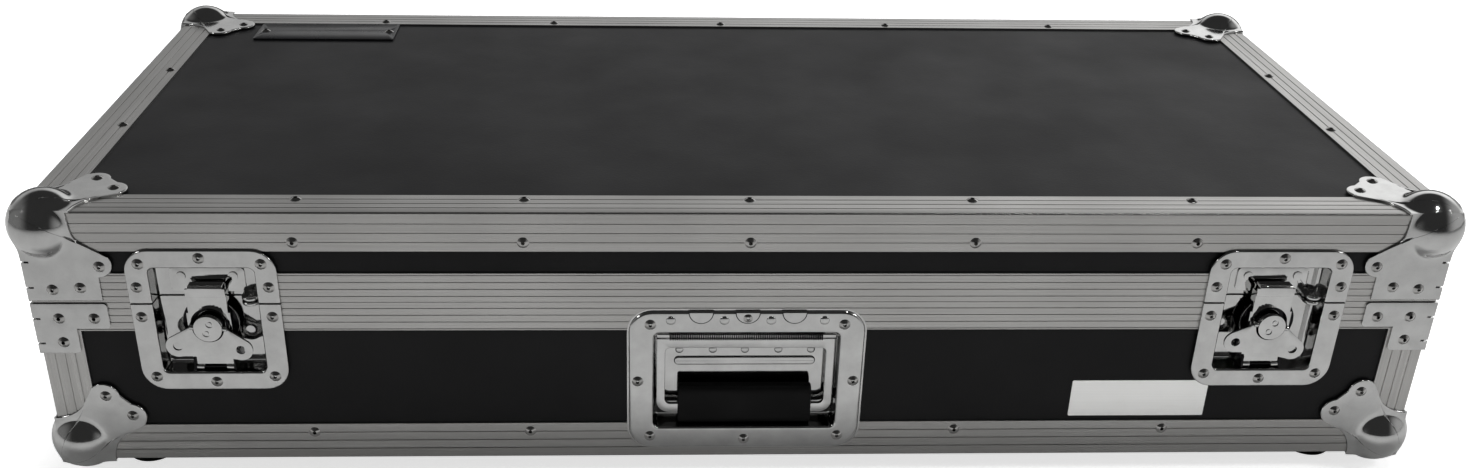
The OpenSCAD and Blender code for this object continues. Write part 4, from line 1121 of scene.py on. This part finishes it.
    def raise_ball(self, points: Array) -> Array:
        """Pushes points away from the ball's centre to a soft maximum of two distances.

        The distance is the point's own or the ball's radius, whichever is larger, and
        a hyperbola joins the two as a pressed crease does.

        Args:
            points: Points in from the corner along x, y and z.

        Returns:
            The pushed points.
        """
        away = points - self.ball_in
        far = np.linalg.norm(away, axis=-1, keepdims=True)
        gap = far - self.ball_r
        dip = self.dip * self.fillet * np.exp(-np.abs(gap) / (4 * self.fillet))
        soft = 0.5 * (far + self.ball_r + np.sqrt(gap * gap + self.fillet**2)) - dip
        end, length = self.fade
        fade = np.clip((end - far) / length, 0, 1)
        return self.ball_in + away * (far + (soft - far) * fade) / far

    def corner(self, name: str, sign: Array,
               parts: Sequence[tuple[str, Callable[[Array], Array]]]) -> Any:
        """Builds one corner from its plates.

        Args:
            name: The piece's name.
            sign: -1 or 1 for each axis: the corner's side of the case.
            parts: Faces ("front", "side" or "level") with their outlines.

        Returns:
            The corner.
        """
        points, faces, count = [], [], 0
        for face, reach in parts:
            grid, quads = self.plate(reach, self.rays * (2 if reach == self.long_reach else 1))
            u, v, drop = np.moveaxis(grid - self.sheet, -1, 0)
            order = {"front": (u, drop, v), "side": (drop, u, v), "level": (u, v, drop)}[face]
            points.append(self.raise_ball(np.stack(order, -1)).reshape(-1, 3))
            faces.append(quads + count)
            count += len(points[-1])
        tip = np.array([self.case.half_w, self.case.half_d, 0]) * sign
        tip[2] = self.case.top if sign[2] > 0 else self.case.low
        made = make_mesh(name, tip - sign * np.concatenate(points), np.concatenate(faces), sign,
                         weld=2e-5)
        if sign[2] > 0:
            self.bend_slots(made, sign)
        thicken(made, self.sheet - 0.1 * MM)
        return made

    def bend_slots(self, made: Any, sign: Array) -> None:
        """Cuts the bend slots in the plate where it turns round the case's upright edge."""
        tall, reach = self.slot
        x, y = sign[0] * (self.case.half_w - reach), sign[1] * (self.case.half_d - reach)
        for up in self.slots_up:
            z = self.case.seam + up
            planes = [((x, 0, 0), (1, 0, 0)), ((0, y, 0), FRONT),
                      ((0, 0, z - tall / 2), UP), ((0, 0, z + tall / 2), UP)]
            cut_out(made, planes, lambda c: abs(c.z - z) < tall / 2
                    and c.x * sign[0] > x * sign[0] and c.y * sign[1] > y * sign[1])

    def build(self) -> None:
        """Makes the four base corners and the four lid corners, and dresses the braces."""
        for level, body, upright, flat in ((-1, "base", self.lobed_reach, self.quarter_reach),
                                           (1, "lid", self.long_reach, self.lobed_reach)):
            for x, side in ((-1, "left"), (1, "right")):
                for y, end in ((-1, "front"), (1, "rear")):
                    made = self.corner(f"{body}_corner_{side}_{end}", np.array([x, y, level]),
                                       (("front", upright), ("side", upright), ("level", flat)))
                    settle(made, "corner", body, "corner_chrome", f"{body}_ball_corners")
        dress("base_corner_braces", "corner", 0.5, 3)


@dataclass(frozen=True)
class Dish:
    """A pressed dish: a flange with rolled edges and a well with drawn corners.

    Attributes:
        name: The piece's name.
        low, high: Lowest and highest corner of the flange over the face, x and z.
        hole_low, hole_high: Lowest and highest corner of the opening, x and z.
        face: The y of the case's front face.
        depth: Depth of the well's floor behind the face.
        roll: Radius of the flange's outer edge.
        sheet: Thickness of the metal.
        rise: How far the flange stands off the face.
        flange_r: Radius of the flange's corners.
        opening_r, least_r: Radius of the opening's corners, and the least one below.
        lip, foot: Radii at the opening's edge and at the foot of the well's walls.
        slope: How much each wall leans in.
        arc, straight: Points in a ring's arcs and straight sides.
        flange_parts, floor_parts: Where rings cross the flange and the floor, as shares.
    """

    name: str
    low: tuple[float, float]
    high: tuple[float, float]
    hole_low: tuple[float, float]
    hole_high: tuple[float, float]
    face: float
    depth: float
    roll: float
    sheet: float = 1.2 * MM
    rise: float = 2.2 * MM
    flange_r: float = 17.6 * MM
    opening_r: float = 4.5 * MM
    lip: float = 1.6 * MM
    foot: float = 2.4 * MM
    slope: float = 0.8 * MM
    arc: int = 10
    straight: int = 7
    least_r: float = 1 * MM
    flange_parts: tuple[float, ...] = (0.08, 0.3, 0.6, 0.9)
    floor_parts: tuple[float, ...] = (0.9, 0.75, 0.5, 0.25, 0.0)

    def row(self, half: Array, centre: Array, r: float, y: float) -> Array:
        """One ring of the pressing, at a place y."""
        ring = rounded_ring(half, r, self.arc, self.straight) + centre
        return np.column_stack([ring[:, 0], np.full(len(ring), y), ring[:, 1]])

    def build(self) -> Any:
        """Makes the dish as rings: outer edge, flange, lip, wall, foot and floor.

        Over each rounding, as a goes over a quarter turn, one side moves by its radius
        times 1 - cos a and the other by its radius times 1 - sin a.

        Returns:
            The dish, still without its wall.
        """
        low, high = np.array(self.low), np.array(self.high)
        hole_low, hole_high = np.array(self.hole_low), np.array(self.hole_high)
        outer, middle = (high - low) / 2, (high + low) / 2
        hole, centre = (hole_high - hole_low) / 2, (hole_high + hole_low) / 2
        turn = np.linspace(0, QUARTER, 6)
        front, floor = self.face - self.rise, self.face + self.depth
        rows = [self.row(outer, middle, self.flange_r, self.face - 0.03 * MM)]
        for a in turn:
            inset = self.roll * (1 - math.cos(a))
            rows.append(self.row(outer - inset, middle, self.flange_r - inset,
                                 front + self.roll * (1 - math.sin(a))))
        edge = rows[-1]
        mouth = self.row(hole + self.lip, centre, self.opening_r + self.lip, front)
        rows += [edge + (mouth - edge) * part for part in self.flange_parts]
        for a in turn:
            grow = self.lip * (1 - math.sin(a))
            rows.append(self.row(hole + grow, centre, self.opening_r + grow,
                                 front + self.lip * (1 - math.cos(a))))
        for a in turn:
            drawn = self.foot * (1 - math.cos(a))
            r = max(self.opening_r - self.slope - drawn, self.least_r)
            rows.append(self.row(hole - self.slope - drawn, centre, r,
                                 floor - self.foot * (1 - math.sin(a))))
        heart = np.array([centre[0], floor, centre[1]])
        rows += [heart + (rows[-1] - heart) * part for part in self.floor_parts]
        return make_mesh(self.name, np.stack(rows), grid_faces(len(rows), len(edge), True), FRONT)


@dataclass(frozen=True)
class Latches:
    """The two butterfly latches, each in a dish that is split at the seam.

    Attributes:
        case: The case's places.
        opening: Width and height of the opening.
        flange_drop: Flange below the opening.
        depth: Depth of the well.
        split: Half the gap at the seam.
        cam: Inner and outer radius of the cam disc's cover.
        cam_off: Where it starts and ends, off the well's floor.
        eye_r, eye_hole_r, eye_reach, eye_t: Sizes of a padlock eye.
        eye_square: How squarely its back meets the well's floor.
        eye_edge, cam_edge: Width of the eye's and the cover's bevels.
        roll: Radius of the flange's outer edge.
    """

    case: CaseFrame
    opening: tuple[float, float] = (74 * MM, 84.5 * MM)
    flange_drop: float = 14.6 * MM
    depth: float = 11.5 * MM
    split: float = 0.75 * MM
    cam: tuple[float, float] = (9.9 * MM, 20.1 * MM)
    cam_off: tuple[float, float] = (5.4 * MM, 7.1 * MM)
    eye_r: float = 6.5 * MM
    eye_hole_r: float = 2.6 * MM
    eye_reach: float = 12 * MM
    eye_t: float = 2.4 * MM
    eye_square: float = 1.9
    eye_edge: float = 0.4 * MM
    cam_edge: float = 0.3 * MM
    roll: float = 0.9 * MM

    @property
    def floor(self) -> float:
        """The y of the wells' floors."""
        return -self.case.half_d + self.depth

    def dishes(self, side: str) -> None:
        """The lower and the upper half of one dish, with their padlock eyes.

        Args:
            side: "left" or "right".
        """
        lower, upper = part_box(f"latch_{side}_lower_dish"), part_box(f"latch_{side}_upper_dish")
        low, high = (lower[0].x, lower[0].z), (lower[1].x, upper[1].z)
        hole_low = ((low[0] + high[0] - self.opening[0]) / 2, low[1] + self.flange_drop)
        hole_high = (hole_low[0] + self.opening[0], hole_low[1] + self.opening[1])
        for half, body, way in (("lower", "base", 1), ("upper", "lid", -1)):
            dish = Dish(f"latch_{side}_{half}_pressing", low, high, hole_low, hole_high,
                        -self.case.half_d, self.depth, self.roll)
            made = dish.build()
            level = self.case.seam - way * self.split
            cut_out(made, [((0, 0, level), UP)], lambda c: (c.z - level) * way > 0)
            thicken(made, dish.sheet)
            settle(made, "dish", body, "corner_chrome", f"latch_{side}_{half}_dish")
            self.eye(side, half, body, hole_high[0])

    def eye(self, side: str, half: str, body: str, right: float) -> None:
        """A padlock eye: a round-ended tab with a hole, level with the seam.

        Rings run between the hole and the outline, and those on the outline are drawn
        in a little at the two faces, as the edge of a stamped part is.

        Args:
            side: "left" or "right".
            half: "lower" or "upper".
            body: The body that it rides on.
            right: The x of the opening's right side.
        """
        centre = np.array([right - self.eye_r, self.floor - self.eye_reach + self.eye_r])
        turn = np.linspace(0, math.tau, 48, endpoint=False)
        circle = np.stack([np.cos(turn), np.sin(turn)], 1)
        outer = centre + circle * self.eye_r
        back = circle[:, 1] > 0
        spread = np.minimum(1, np.abs(circle[back]) * self.eye_square)
        outer[back] = centre + np.stack([np.sign(circle[back, 0]) * self.eye_r * spread[:, 0],
                                         (self.floor - centre[1]) * spread[:, 1]], 1)
        inner = centre + circle * self.eye_hole_r
        edge, t = self.eye_edge, self.eye_t
        level = self.case.seam + (self.split if half == "upper" else -self.split - t)
        rows = []
        for on_outline, z, pull in ((0, 0, 0), (1, 0, edge), (1, edge, 0), (1, t - edge, 0),
                                    (1, t, edge), (0, t, 0), (0, 0, 0)):
            ring = outer if on_outline else inner
            away = (ring - centre) / np.linalg.norm(ring - centre, axis=1, keepdims=True)
            rows.append(np.column_stack([ring - away * pull, np.full(len(ring), level + z)]))
        made = make_mesh(f"latch_{side}_{half}_eye", np.stack(rows),
                         grid_faces(len(rows), len(turn), True))
        crease(made, 50)
        settle(made, "fitting", body, "latch_chrome")

    def cam_cover(self, side: str) -> None:
        """The blackened disc round the hub, turning with it.

        Args:
            side: "left" or "right".
        """
        low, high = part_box(f"latch_{side}_hub")
        (inner, outer), (start, end), edge = self.cam, self.cam_off, self.cam_edge
        profile = [(inner, start), (outer, start), (outer, end - edge), (outer - edge, end),
                   (inner + edge, end), (inner, end - edge), (inner, start)]
        centre = ((low.x + high.x) / 2, self.floor, (low.z + high.z) / 2)
        made = lathe(f"latch_{side}_cam_cover", profile, centre, 64)
        settle(made, "cam", f"{side}_hub", "latch_chrome")

    def build(self) -> None:
        """Makes both latches."""
        for side in ("left", "right"):
            self.dishes(side)
            self.cam_cover(side)
            for part in ("hub", "wing", "claw"):
                dress(f"latch_{side}_{part}", "fitting", 0.35, 3)
            dress(f"latch_{side}_driver", "cam", 0.3)
        dress("latch_strikes", "fitting", 0.4, 3)


@dataclass(frozen=True)
class Handle:
    """The recessed handle: a pressed dish, a chromed bail and a moulded rubber grip.

    Attributes:
        case: The case's places.
        opening: Width and height of the opening.
        depth: Depth of the well.
        tabs_x, tab_r, tab_slit_shade: Places and radius of the half-moon tabs at the flange's top, and
            how far past each tab the black ring of painted shade reaches; the ring stands for the tab's
            slit.
        domes_x, domes_z: Places of the plain domes on the flange.
        bumps_x, bumps_z: Places of the bumps on the well's floor.
        bead: Half width, lowest and highest z of the bead on the well's floor.
        spring_half, spring_r, wire_r, pitch: Sizes of the return spring.
        coil_steps, wire_sides: Points in one of its turns, and round its wire.
        roll: Radius of the flange's outer edge.
        tab_drop: How far under the flange's top the tabs' straight sides lie.
        tab_t, tab_edge, slit_shade_t, slit_shade_edge: Thickness and edge of a tab, and of the black ring
        of painted shade round it that stands for its slit.
        dome_size, bump_size: Radius and height of a dome and of a bump.
        bead_t, bead_edge: Thickness and edge of the bead.
        grip_ends: Shares of the grip's half length that are straight, and that close.
        ribs: Middle and half width of each band of ribs, as shares of the half length,
            how fast they follow each other, and their height.
    """

    case: CaseFrame
    opening: tuple[float, float] = (136.7 * MM, 81.4 * MM)
    depth: float = 14 * MM
    tabs_x: tuple[float, ...] = (-34 * MM, 0.0, 34 * MM)
    tab_r: float = 8.5 * MM
    tab_slit_shade: float = 0.7 * MM
    domes_x: tuple[float, ...] = (-56 * MM, -17 * MM, 17 * MM, 56 * MM)
    domes_z: float = 133 * MM
    bumps_x: tuple[float, ...] = (-49 * MM, -24 * MM, 0.0, 25 * MM, 49.5 * MM)
    bumps_z: float = 99.4 * MM
    bead: tuple[float, float, float] = (53 * MM, 86.6 * MM, 93.8 * MM)
    spring_half: float = 57 * MM
    spring_r: float = 4.7 * MM
    wire_r: float = 0.5 * MM
    pitch: float = 1.35 * MM
    coil_steps: int = 18
    wire_sides: int = 6
    roll: float = 2.2 * MM
    tab_drop: float = 0.6 * MM
    tab_t: float = 0.6 * MM
    tab_edge: float = 0.25 * MM
    slit_shade_t: float = 0.12 * MM
    slit_shade_edge: float = 0.05 * MM
    dome_size: tuple[float, float] = (3.5 * MM, 1.3 * MM)
    bump_size: tuple[float, float] = (3 * MM, 1.2 * MM)
    bead_t: float = 1.4 * MM
    bead_edge: float = 1.2 * MM
    grip_ends: tuple[float, float] = (0.97, 0.03)
    ribs: tuple[float, float, float, float] = (0.84, 0.1, 190, 0.01)

    def build(self) -> None:
        """Makes the dish, the pressed details, the spring and the grip, and dresses the bail."""
        low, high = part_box("handle_dish")
        wide, tall = self.opening
        middle = (low.z + high.z) / 2
        dish = Dish("handle_pressing", (low.x, low.z), (high.x, high.z),
                    (-wide / 2, middle - tall / 2), (wide / 2, middle + tall / 2),
                    -self.case.half_d, self.depth, self.roll)
        made = dish.build()
        thicken(made, dish.sheet)
        settle(made, "dish", "base", "corner_chrome", "handle_dish")
        front, floor = dish.face - dish.rise, dish.face + dish.depth
        self.details(front, floor, high.z)
        self.spring()
        self.grip()
        dress("handle_rod", "fitting", 0.2)
        dress("handle_bail", "fitting", 0.6, 3)

    def details(self, front: float, floor: float, top: float) -> None:
        """Half-moon tabs, each with a black ring of painted shade for its slit, and domes on the flange,
        and bumps and a bead on the floor.

        Args:
            front: The y of the flange.
            floor: The y of the well's floor.
            top: The z of the flange's top.
        """
        turn = np.linspace(math.pi, math.tau, 25)
        half_moon = np.stack([np.cos(turn), np.sin(turn)], 1) * self.tab_r
        places = [(x, top - self.tab_drop) for x in self.tabs_x]
        pieces = [raised_plate(f"handle_tab_{k}", half_moon + place, front, front - self.tab_t,
                               self.tab_edge) for k, place in enumerate(places)]
        # A thin black ring, a little wider than each tab, lies on the flange. It is painted shade that
        # stands for the dark slit the tab was lanced from.
        for k, place in enumerate(places):
            slit_shade_outline = half_moon * (1 + self.tab_slit_shade / self.tab_r) + place
            gap = raised_plate(f"handle_tab_slit_shade_{k}", slit_shade_outline, front, front - self.slit_shade_t,
                               self.slit_shade_edge)
            settle(gap, "cam", "base", "corner_chrome")
        pieces += [dome(f"handle_dome_{k}", *self.dome_size, (x, front, self.domes_z))
                   for k, x in enumerate(self.domes_x)]
        pieces += [dome(f"handle_bump_{k}", *self.bump_size, (x, floor, self.bumps_z))
                   for k, x in enumerate(self.bumps_x)]
        half, low, high = self.bead
        end_r = (high - low) / 2
        stadium = rounded_ring(np.array([half, end_r]), end_r - STADIUM_SLACK, 9, 11)
        pieces.append(raised_plate("handle_bead", stadium + (0, (low + high) / 2), floor,
                                   floor - self.bead_t, self.bead_edge))
        for piece in pieces:
            settle(piece, "dish", "base", "corner_chrome")

    def spring(self) -> None:
        """The spring round the rod: a wire's circle carried along a helix.

        The helix is spring_r times (cos a, sin a) about the rod, with x growing by one
        pitch a turn; the wire's circle lies across it, and both ends close.
        """
        low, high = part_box("handle_rod")
        turns = math.tau * 2 * self.spring_half / self.pitch
        a = np.arange(0, turns, math.tau / self.coil_steps)[:, None]
        b = np.linspace(0, math.tau, self.wire_sides, endpoint=False)[None, :]
        wire = np.full(len(a), self.wire_r)
        wire[[0, -1]] = 0
        reach = self.spring_r + wire[:, None] * np.cos(b)
        x = -self.spring_half + self.pitch * a / math.tau + wire[:, None] * np.sin(b)
        points = np.stack([x, (low.y + high.y) / 2 + reach * np.cos(a),
                           (low.z + high.z) / 2 + reach * np.sin(a)], -1)
        made = make_mesh("handle_spring", points, grid_faces(len(a), self.wire_sides, True))
        settle(made, "cam", "base", "latch_chrome")

    def grip(self) -> None:
        """A rubber grip: a rounded strap section carried along X, with ribs near its ends.

        Each section is a superellipse; its size eases off at the ends, and a cosine
        along X gives the moulded ribs that run round it.
        """
        low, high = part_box("handle_grip")
        half, middle = (high - low) / 2, (high + low) / 2
        turn = np.linspace(0, math.tau, 64, endpoint=False)
        ease = 0.02 * (1 - np.cos(np.linspace(0, QUARTER, 7)[1:]))
        straight, closing = self.grip_ends
        along = np.concatenate([[-1.0], -1 + ease, np.linspace(-straight, straight, 120),
                                (1 - ease)[::-1], [1.0]])
        end = np.clip((1 - np.abs(along)) / closing, 0, 1)
        cap = np.sqrt(np.clip(1 - (1 - end) ** 2, 0, 1)) * 0.12 + 0.87
        cap[[0, -1]] = 0.001
        place, width, pace, height = self.ribs
        rib = np.where(np.abs(np.abs(along) - place) < width, np.cos(along * pace) * height, 0)
        scale = (cap + rib)[:, None]
        y, z = (np.sign(w) * np.abs(w) ** 0.55 for w in (np.cos(turn), np.sin(turn)))
        points = np.stack([middle.x + half.x * along[:, None] + 0 * y, middle.y + half.y * y * scale,
                           middle.z + half.z * z * scale], -1)
        made = make_mesh("handle_rubber_grip", points, grid_faces(len(along), len(turn), True))
        settle(made, "rubber", "bail", "rubber", "handle_grip")


@dataclass(frozen=True)
class Lining:
    """Foam, carpet, cleats and the board inside.

    Attributes:
        case: The case's places.
        wall: Thickness of the foam on the walls and the base's floor.
        roof: Thickness of the egg-crate foam under the lid.
        crate: Pitch and depth of its hollows.
        soft: Radius of the foam's edges.
        wall_grid, floor_grid, roof_grid: Pitch of the grids of the foam.
        cleat_gap: The floor foam's distance from the cleats' outside.
        latch_pocket: Pocket behind a latch well: half width, lowest z, and depth from
            the face.
        handle_pocket: Pocket behind the handle's well: half width, lowest and highest
            z, and depth.
        slot_in, slot_half: The board's finger slots: place from its end, and half width
            and length.
        slot_near: How far round a slot its cuts reach.
        carpet_lines: Lines of the carpet's grid along x and y.
    """

    case: CaseFrame
    wall: float = 10 * MM
    roof: float = 20 * MM
    crate: tuple[float, float] = (40 * MM, 9 * MM)
    soft: float = 2 * MM
    latch_pocket: tuple[float, float, float] = (38.3 * MM, 89.2 * MM, 17.7 * MM)
    handle_pocket: tuple[float, float, float, float] = (69.7 * MM, 39.6 * MM, 123.6 * MM,
                                                        16.2 * MM)
    wall_grid: float = 8 * MM
    floor_grid: float = 10 * MM
    roof_grid: float = 5 * MM
    cleat_gap: float = 15 * MM
    slot_near: float = 6 * MM
    carpet_lines: tuple[int, int] = (195, 84)
    slot_in: float = 60 * MM
    slot_half: tuple[float, float] = (14 * MM, 50 * MM)

    def foam(self, made: Any, body: str) -> None:
        settle(made, "foam", body, "foam", f"{body}_foam")

    def walls(self, body: str) -> None:
        """Foam on the four walls, with pockets in the front slab's back for the wells.

        Args:
            body: "base" or "lid".
        """
        low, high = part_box(f"{body}_foam")
        hub_x = [sum(v.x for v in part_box(f"latch_{side}_hub")) / 2 for side in ("left", "right")]
        half, pocket_z, depth = self.latch_pocket
        pockets = [(x - half, x + half, pocket_z, high.z + 1, depth) for x in hub_x]
        half, z0, z1, depth = self.handle_pocket
        pockets.append((-half, half, z0, z1, depth))
        x = lines_between(low.x, high.x, self.wall_grid, self.soft,
                          [edge for p in pockets for edge in p[:2]])
        z = lines_between(low.z, high.z, self.wall_grid, self.soft,
                          [edge for p in pockets for edge in p[2:4]])
        drop, xx, zz = rounded_drop(x, z, self.soft), *np.meshgrid(x, z, indexing="ij")
        back = np.full(xx.shape, low.y)
        for x0, x1, z0, z1, depth in pockets:
            back[(xx > x0) & (xx < x1) & (zz > z0) & (zz < z1)] = -self.case.half_d + depth
        front = slab(f"{body}_foam_front", x, z, low.y + self.wall - drop, back, (0, 2, 1))
        rear = slab(f"{body}_foam_rear", x, z, high.y - self.wall + drop,
                    np.full(xx.shape, high.y), (0, 2, 1))
        y = lines_between(low.y + self.wall, high.y - self.wall, self.wall_grid, self.soft)
        drop = rounded_drop(y, z, self.soft)
        left = slab(f"{body}_foam_left", y, z, low.x + self.wall - drop, drop * 0 + low.x,
                    (2, 0, 1))
        right = slab(f"{body}_foam_right", y, z, high.x - self.wall + drop, drop * 0 + high.x,
                     (2, 0, 1))
        for made in (front, rear, left, right):
            self.foam(made, body)

    def levels(self) -> None:
        """The base's floor foam and the lid's egg-crate foam.

        The egg-crate's face is a product of cosines along x and y, one period a pitch.
        """
        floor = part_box("base_foam")[0].z
        (cleat_low, cleat_high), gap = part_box("board_cleats"), self.cleat_gap
        x = lines_between(cleat_low.x + gap, cleat_high.x - gap, self.floor_grid, self.soft)
        y = lines_between(cleat_low.y + gap, cleat_high.y - gap, self.floor_grid, self.soft)
        drop = rounded_drop(x, y, self.soft)
        self.foam(slab("base_foam_floor", x, y, floor + self.wall - drop, drop * 0 + floor,
                       (0, 1, 2)), "base")
        low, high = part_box("lid_foam")
        x = lines_between(low.x + self.wall, high.x - self.wall, self.roof_grid, self.soft)
        y = lines_between(low.y + self.wall, high.y - self.wall, self.roof_grid, self.soft)
        pitch, deep = self.crate
        wave = np.cos(math.tau * x / pitch)[:, None] * np.cos(math.tau * y / pitch)[None, :]
        drop = np.maximum(rounded_drop(x, y, self.soft), deep * (0.5 - 0.5 * wave))
        self.foam(slab("lid_foam_roof", x, y, high.z - self.roof + drop, drop * 0 + high.z,
                       (0, 1, 2)), "lid")

    def carpet(self) -> None:
        """The board's carpet: a grid with the two finger slots cut out, lying a little unevenly."""
        low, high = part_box("pedal_board_carpet")
        along, across = self.carpet_lines
        x = np.linspace(low.x, high.x, along)
        y = np.linspace(low.y, high.y, across)
        xx, yy = np.meshgrid(x, y, indexing="ij")
        lay = np.random.default_rng(7).uniform(-0.3, 0.0, xx.shape) * MM
        made = make_mesh("board_carpet", np.stack([xx, yy, high.z + lay], -1),
                         grid_faces(*xx.shape), UP)
        half_w, half_l = self.slot_half
        ring = rounded_ring(np.array(self.slot_half), half_w - STADIUM_SLACK, 9, 0)
        for centre in (low.x + self.slot_in, high.x - self.slot_in):
            corners = ring + (centre, 0)
            sides = np.roll(corners, -1, 0) - corners
            keep = np.linalg.norm(sides, axis=1) > 1e-6
            corners, sides = corners[keep], sides[keep]
            away = np.stack([sides[:, 1], -sides[:, 0]], 1) / np.linalg.norm(sides, axis=1, keepdims=True)
            planes = [((*c, 0.0), (*n, 0.0)) for c, n in zip(corners.tolist(), away.tolist())]

            def inside(middle: Vector) -> bool:
                """Whether a face's middle is within the slot."""
                return bool((((np.array(middle[:2]) - corners) * away).sum(1) < 0).all())

            def near(middle: Vector) -> bool:
                """Whether a face is close enough to the slot to be cut."""
                beside = abs(middle.x - centre) < half_w + self.slot_near
                return beside and abs(middle.y) < half_l + self.slot_near

            cut_out(made, planes, inside, near)
        thicken(made, high.z - low.z)
        settle(made, "carpet", "board", "carpet", "pedal_board_carpet")

    def build(self) -> None:
        """Makes the foam and the carpet, and dresses the wood."""
        self.walls("base")
        self.walls("lid")
        self.levels()
        self.carpet()
        dress("board_cleats", "ply", 0.5)
        dress("pedal_board", "ply", 0.6)


class Outside:
    """Rivets, feet, the label and the badge."""

    def build(self) -> None:
        """Dresses the small parts outside."""
        for name in ("base_rivets", "lid_rivets"):
            dress(name, "rivet")
        dress("rubber_feet", "rubber", 0.3)
        dress("front_label", "foil")
        dress("badge_plate", "badge", 0.3)


def main() -> None:
    """Builds the camera, the studio and the case's sub-assemblies in order."""
    logging.basicConfig(level=logging.INFO, format="%(name)s: %(message)s")
    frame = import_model()
    NODES.update(frame["nodes"])
    bpy.context.scene.view_settings.view_transform = "Standard"
    PhotoCamera().build()
    case = CaseFrame.read()
    log.info("case %s", case)
    for part in (Studio(), Edging(), BallCorners(case), Latches(case), Handle(case), Outside(),
                 Lining(case)):
        part.build()


if __name__ == "__main__":
    main()
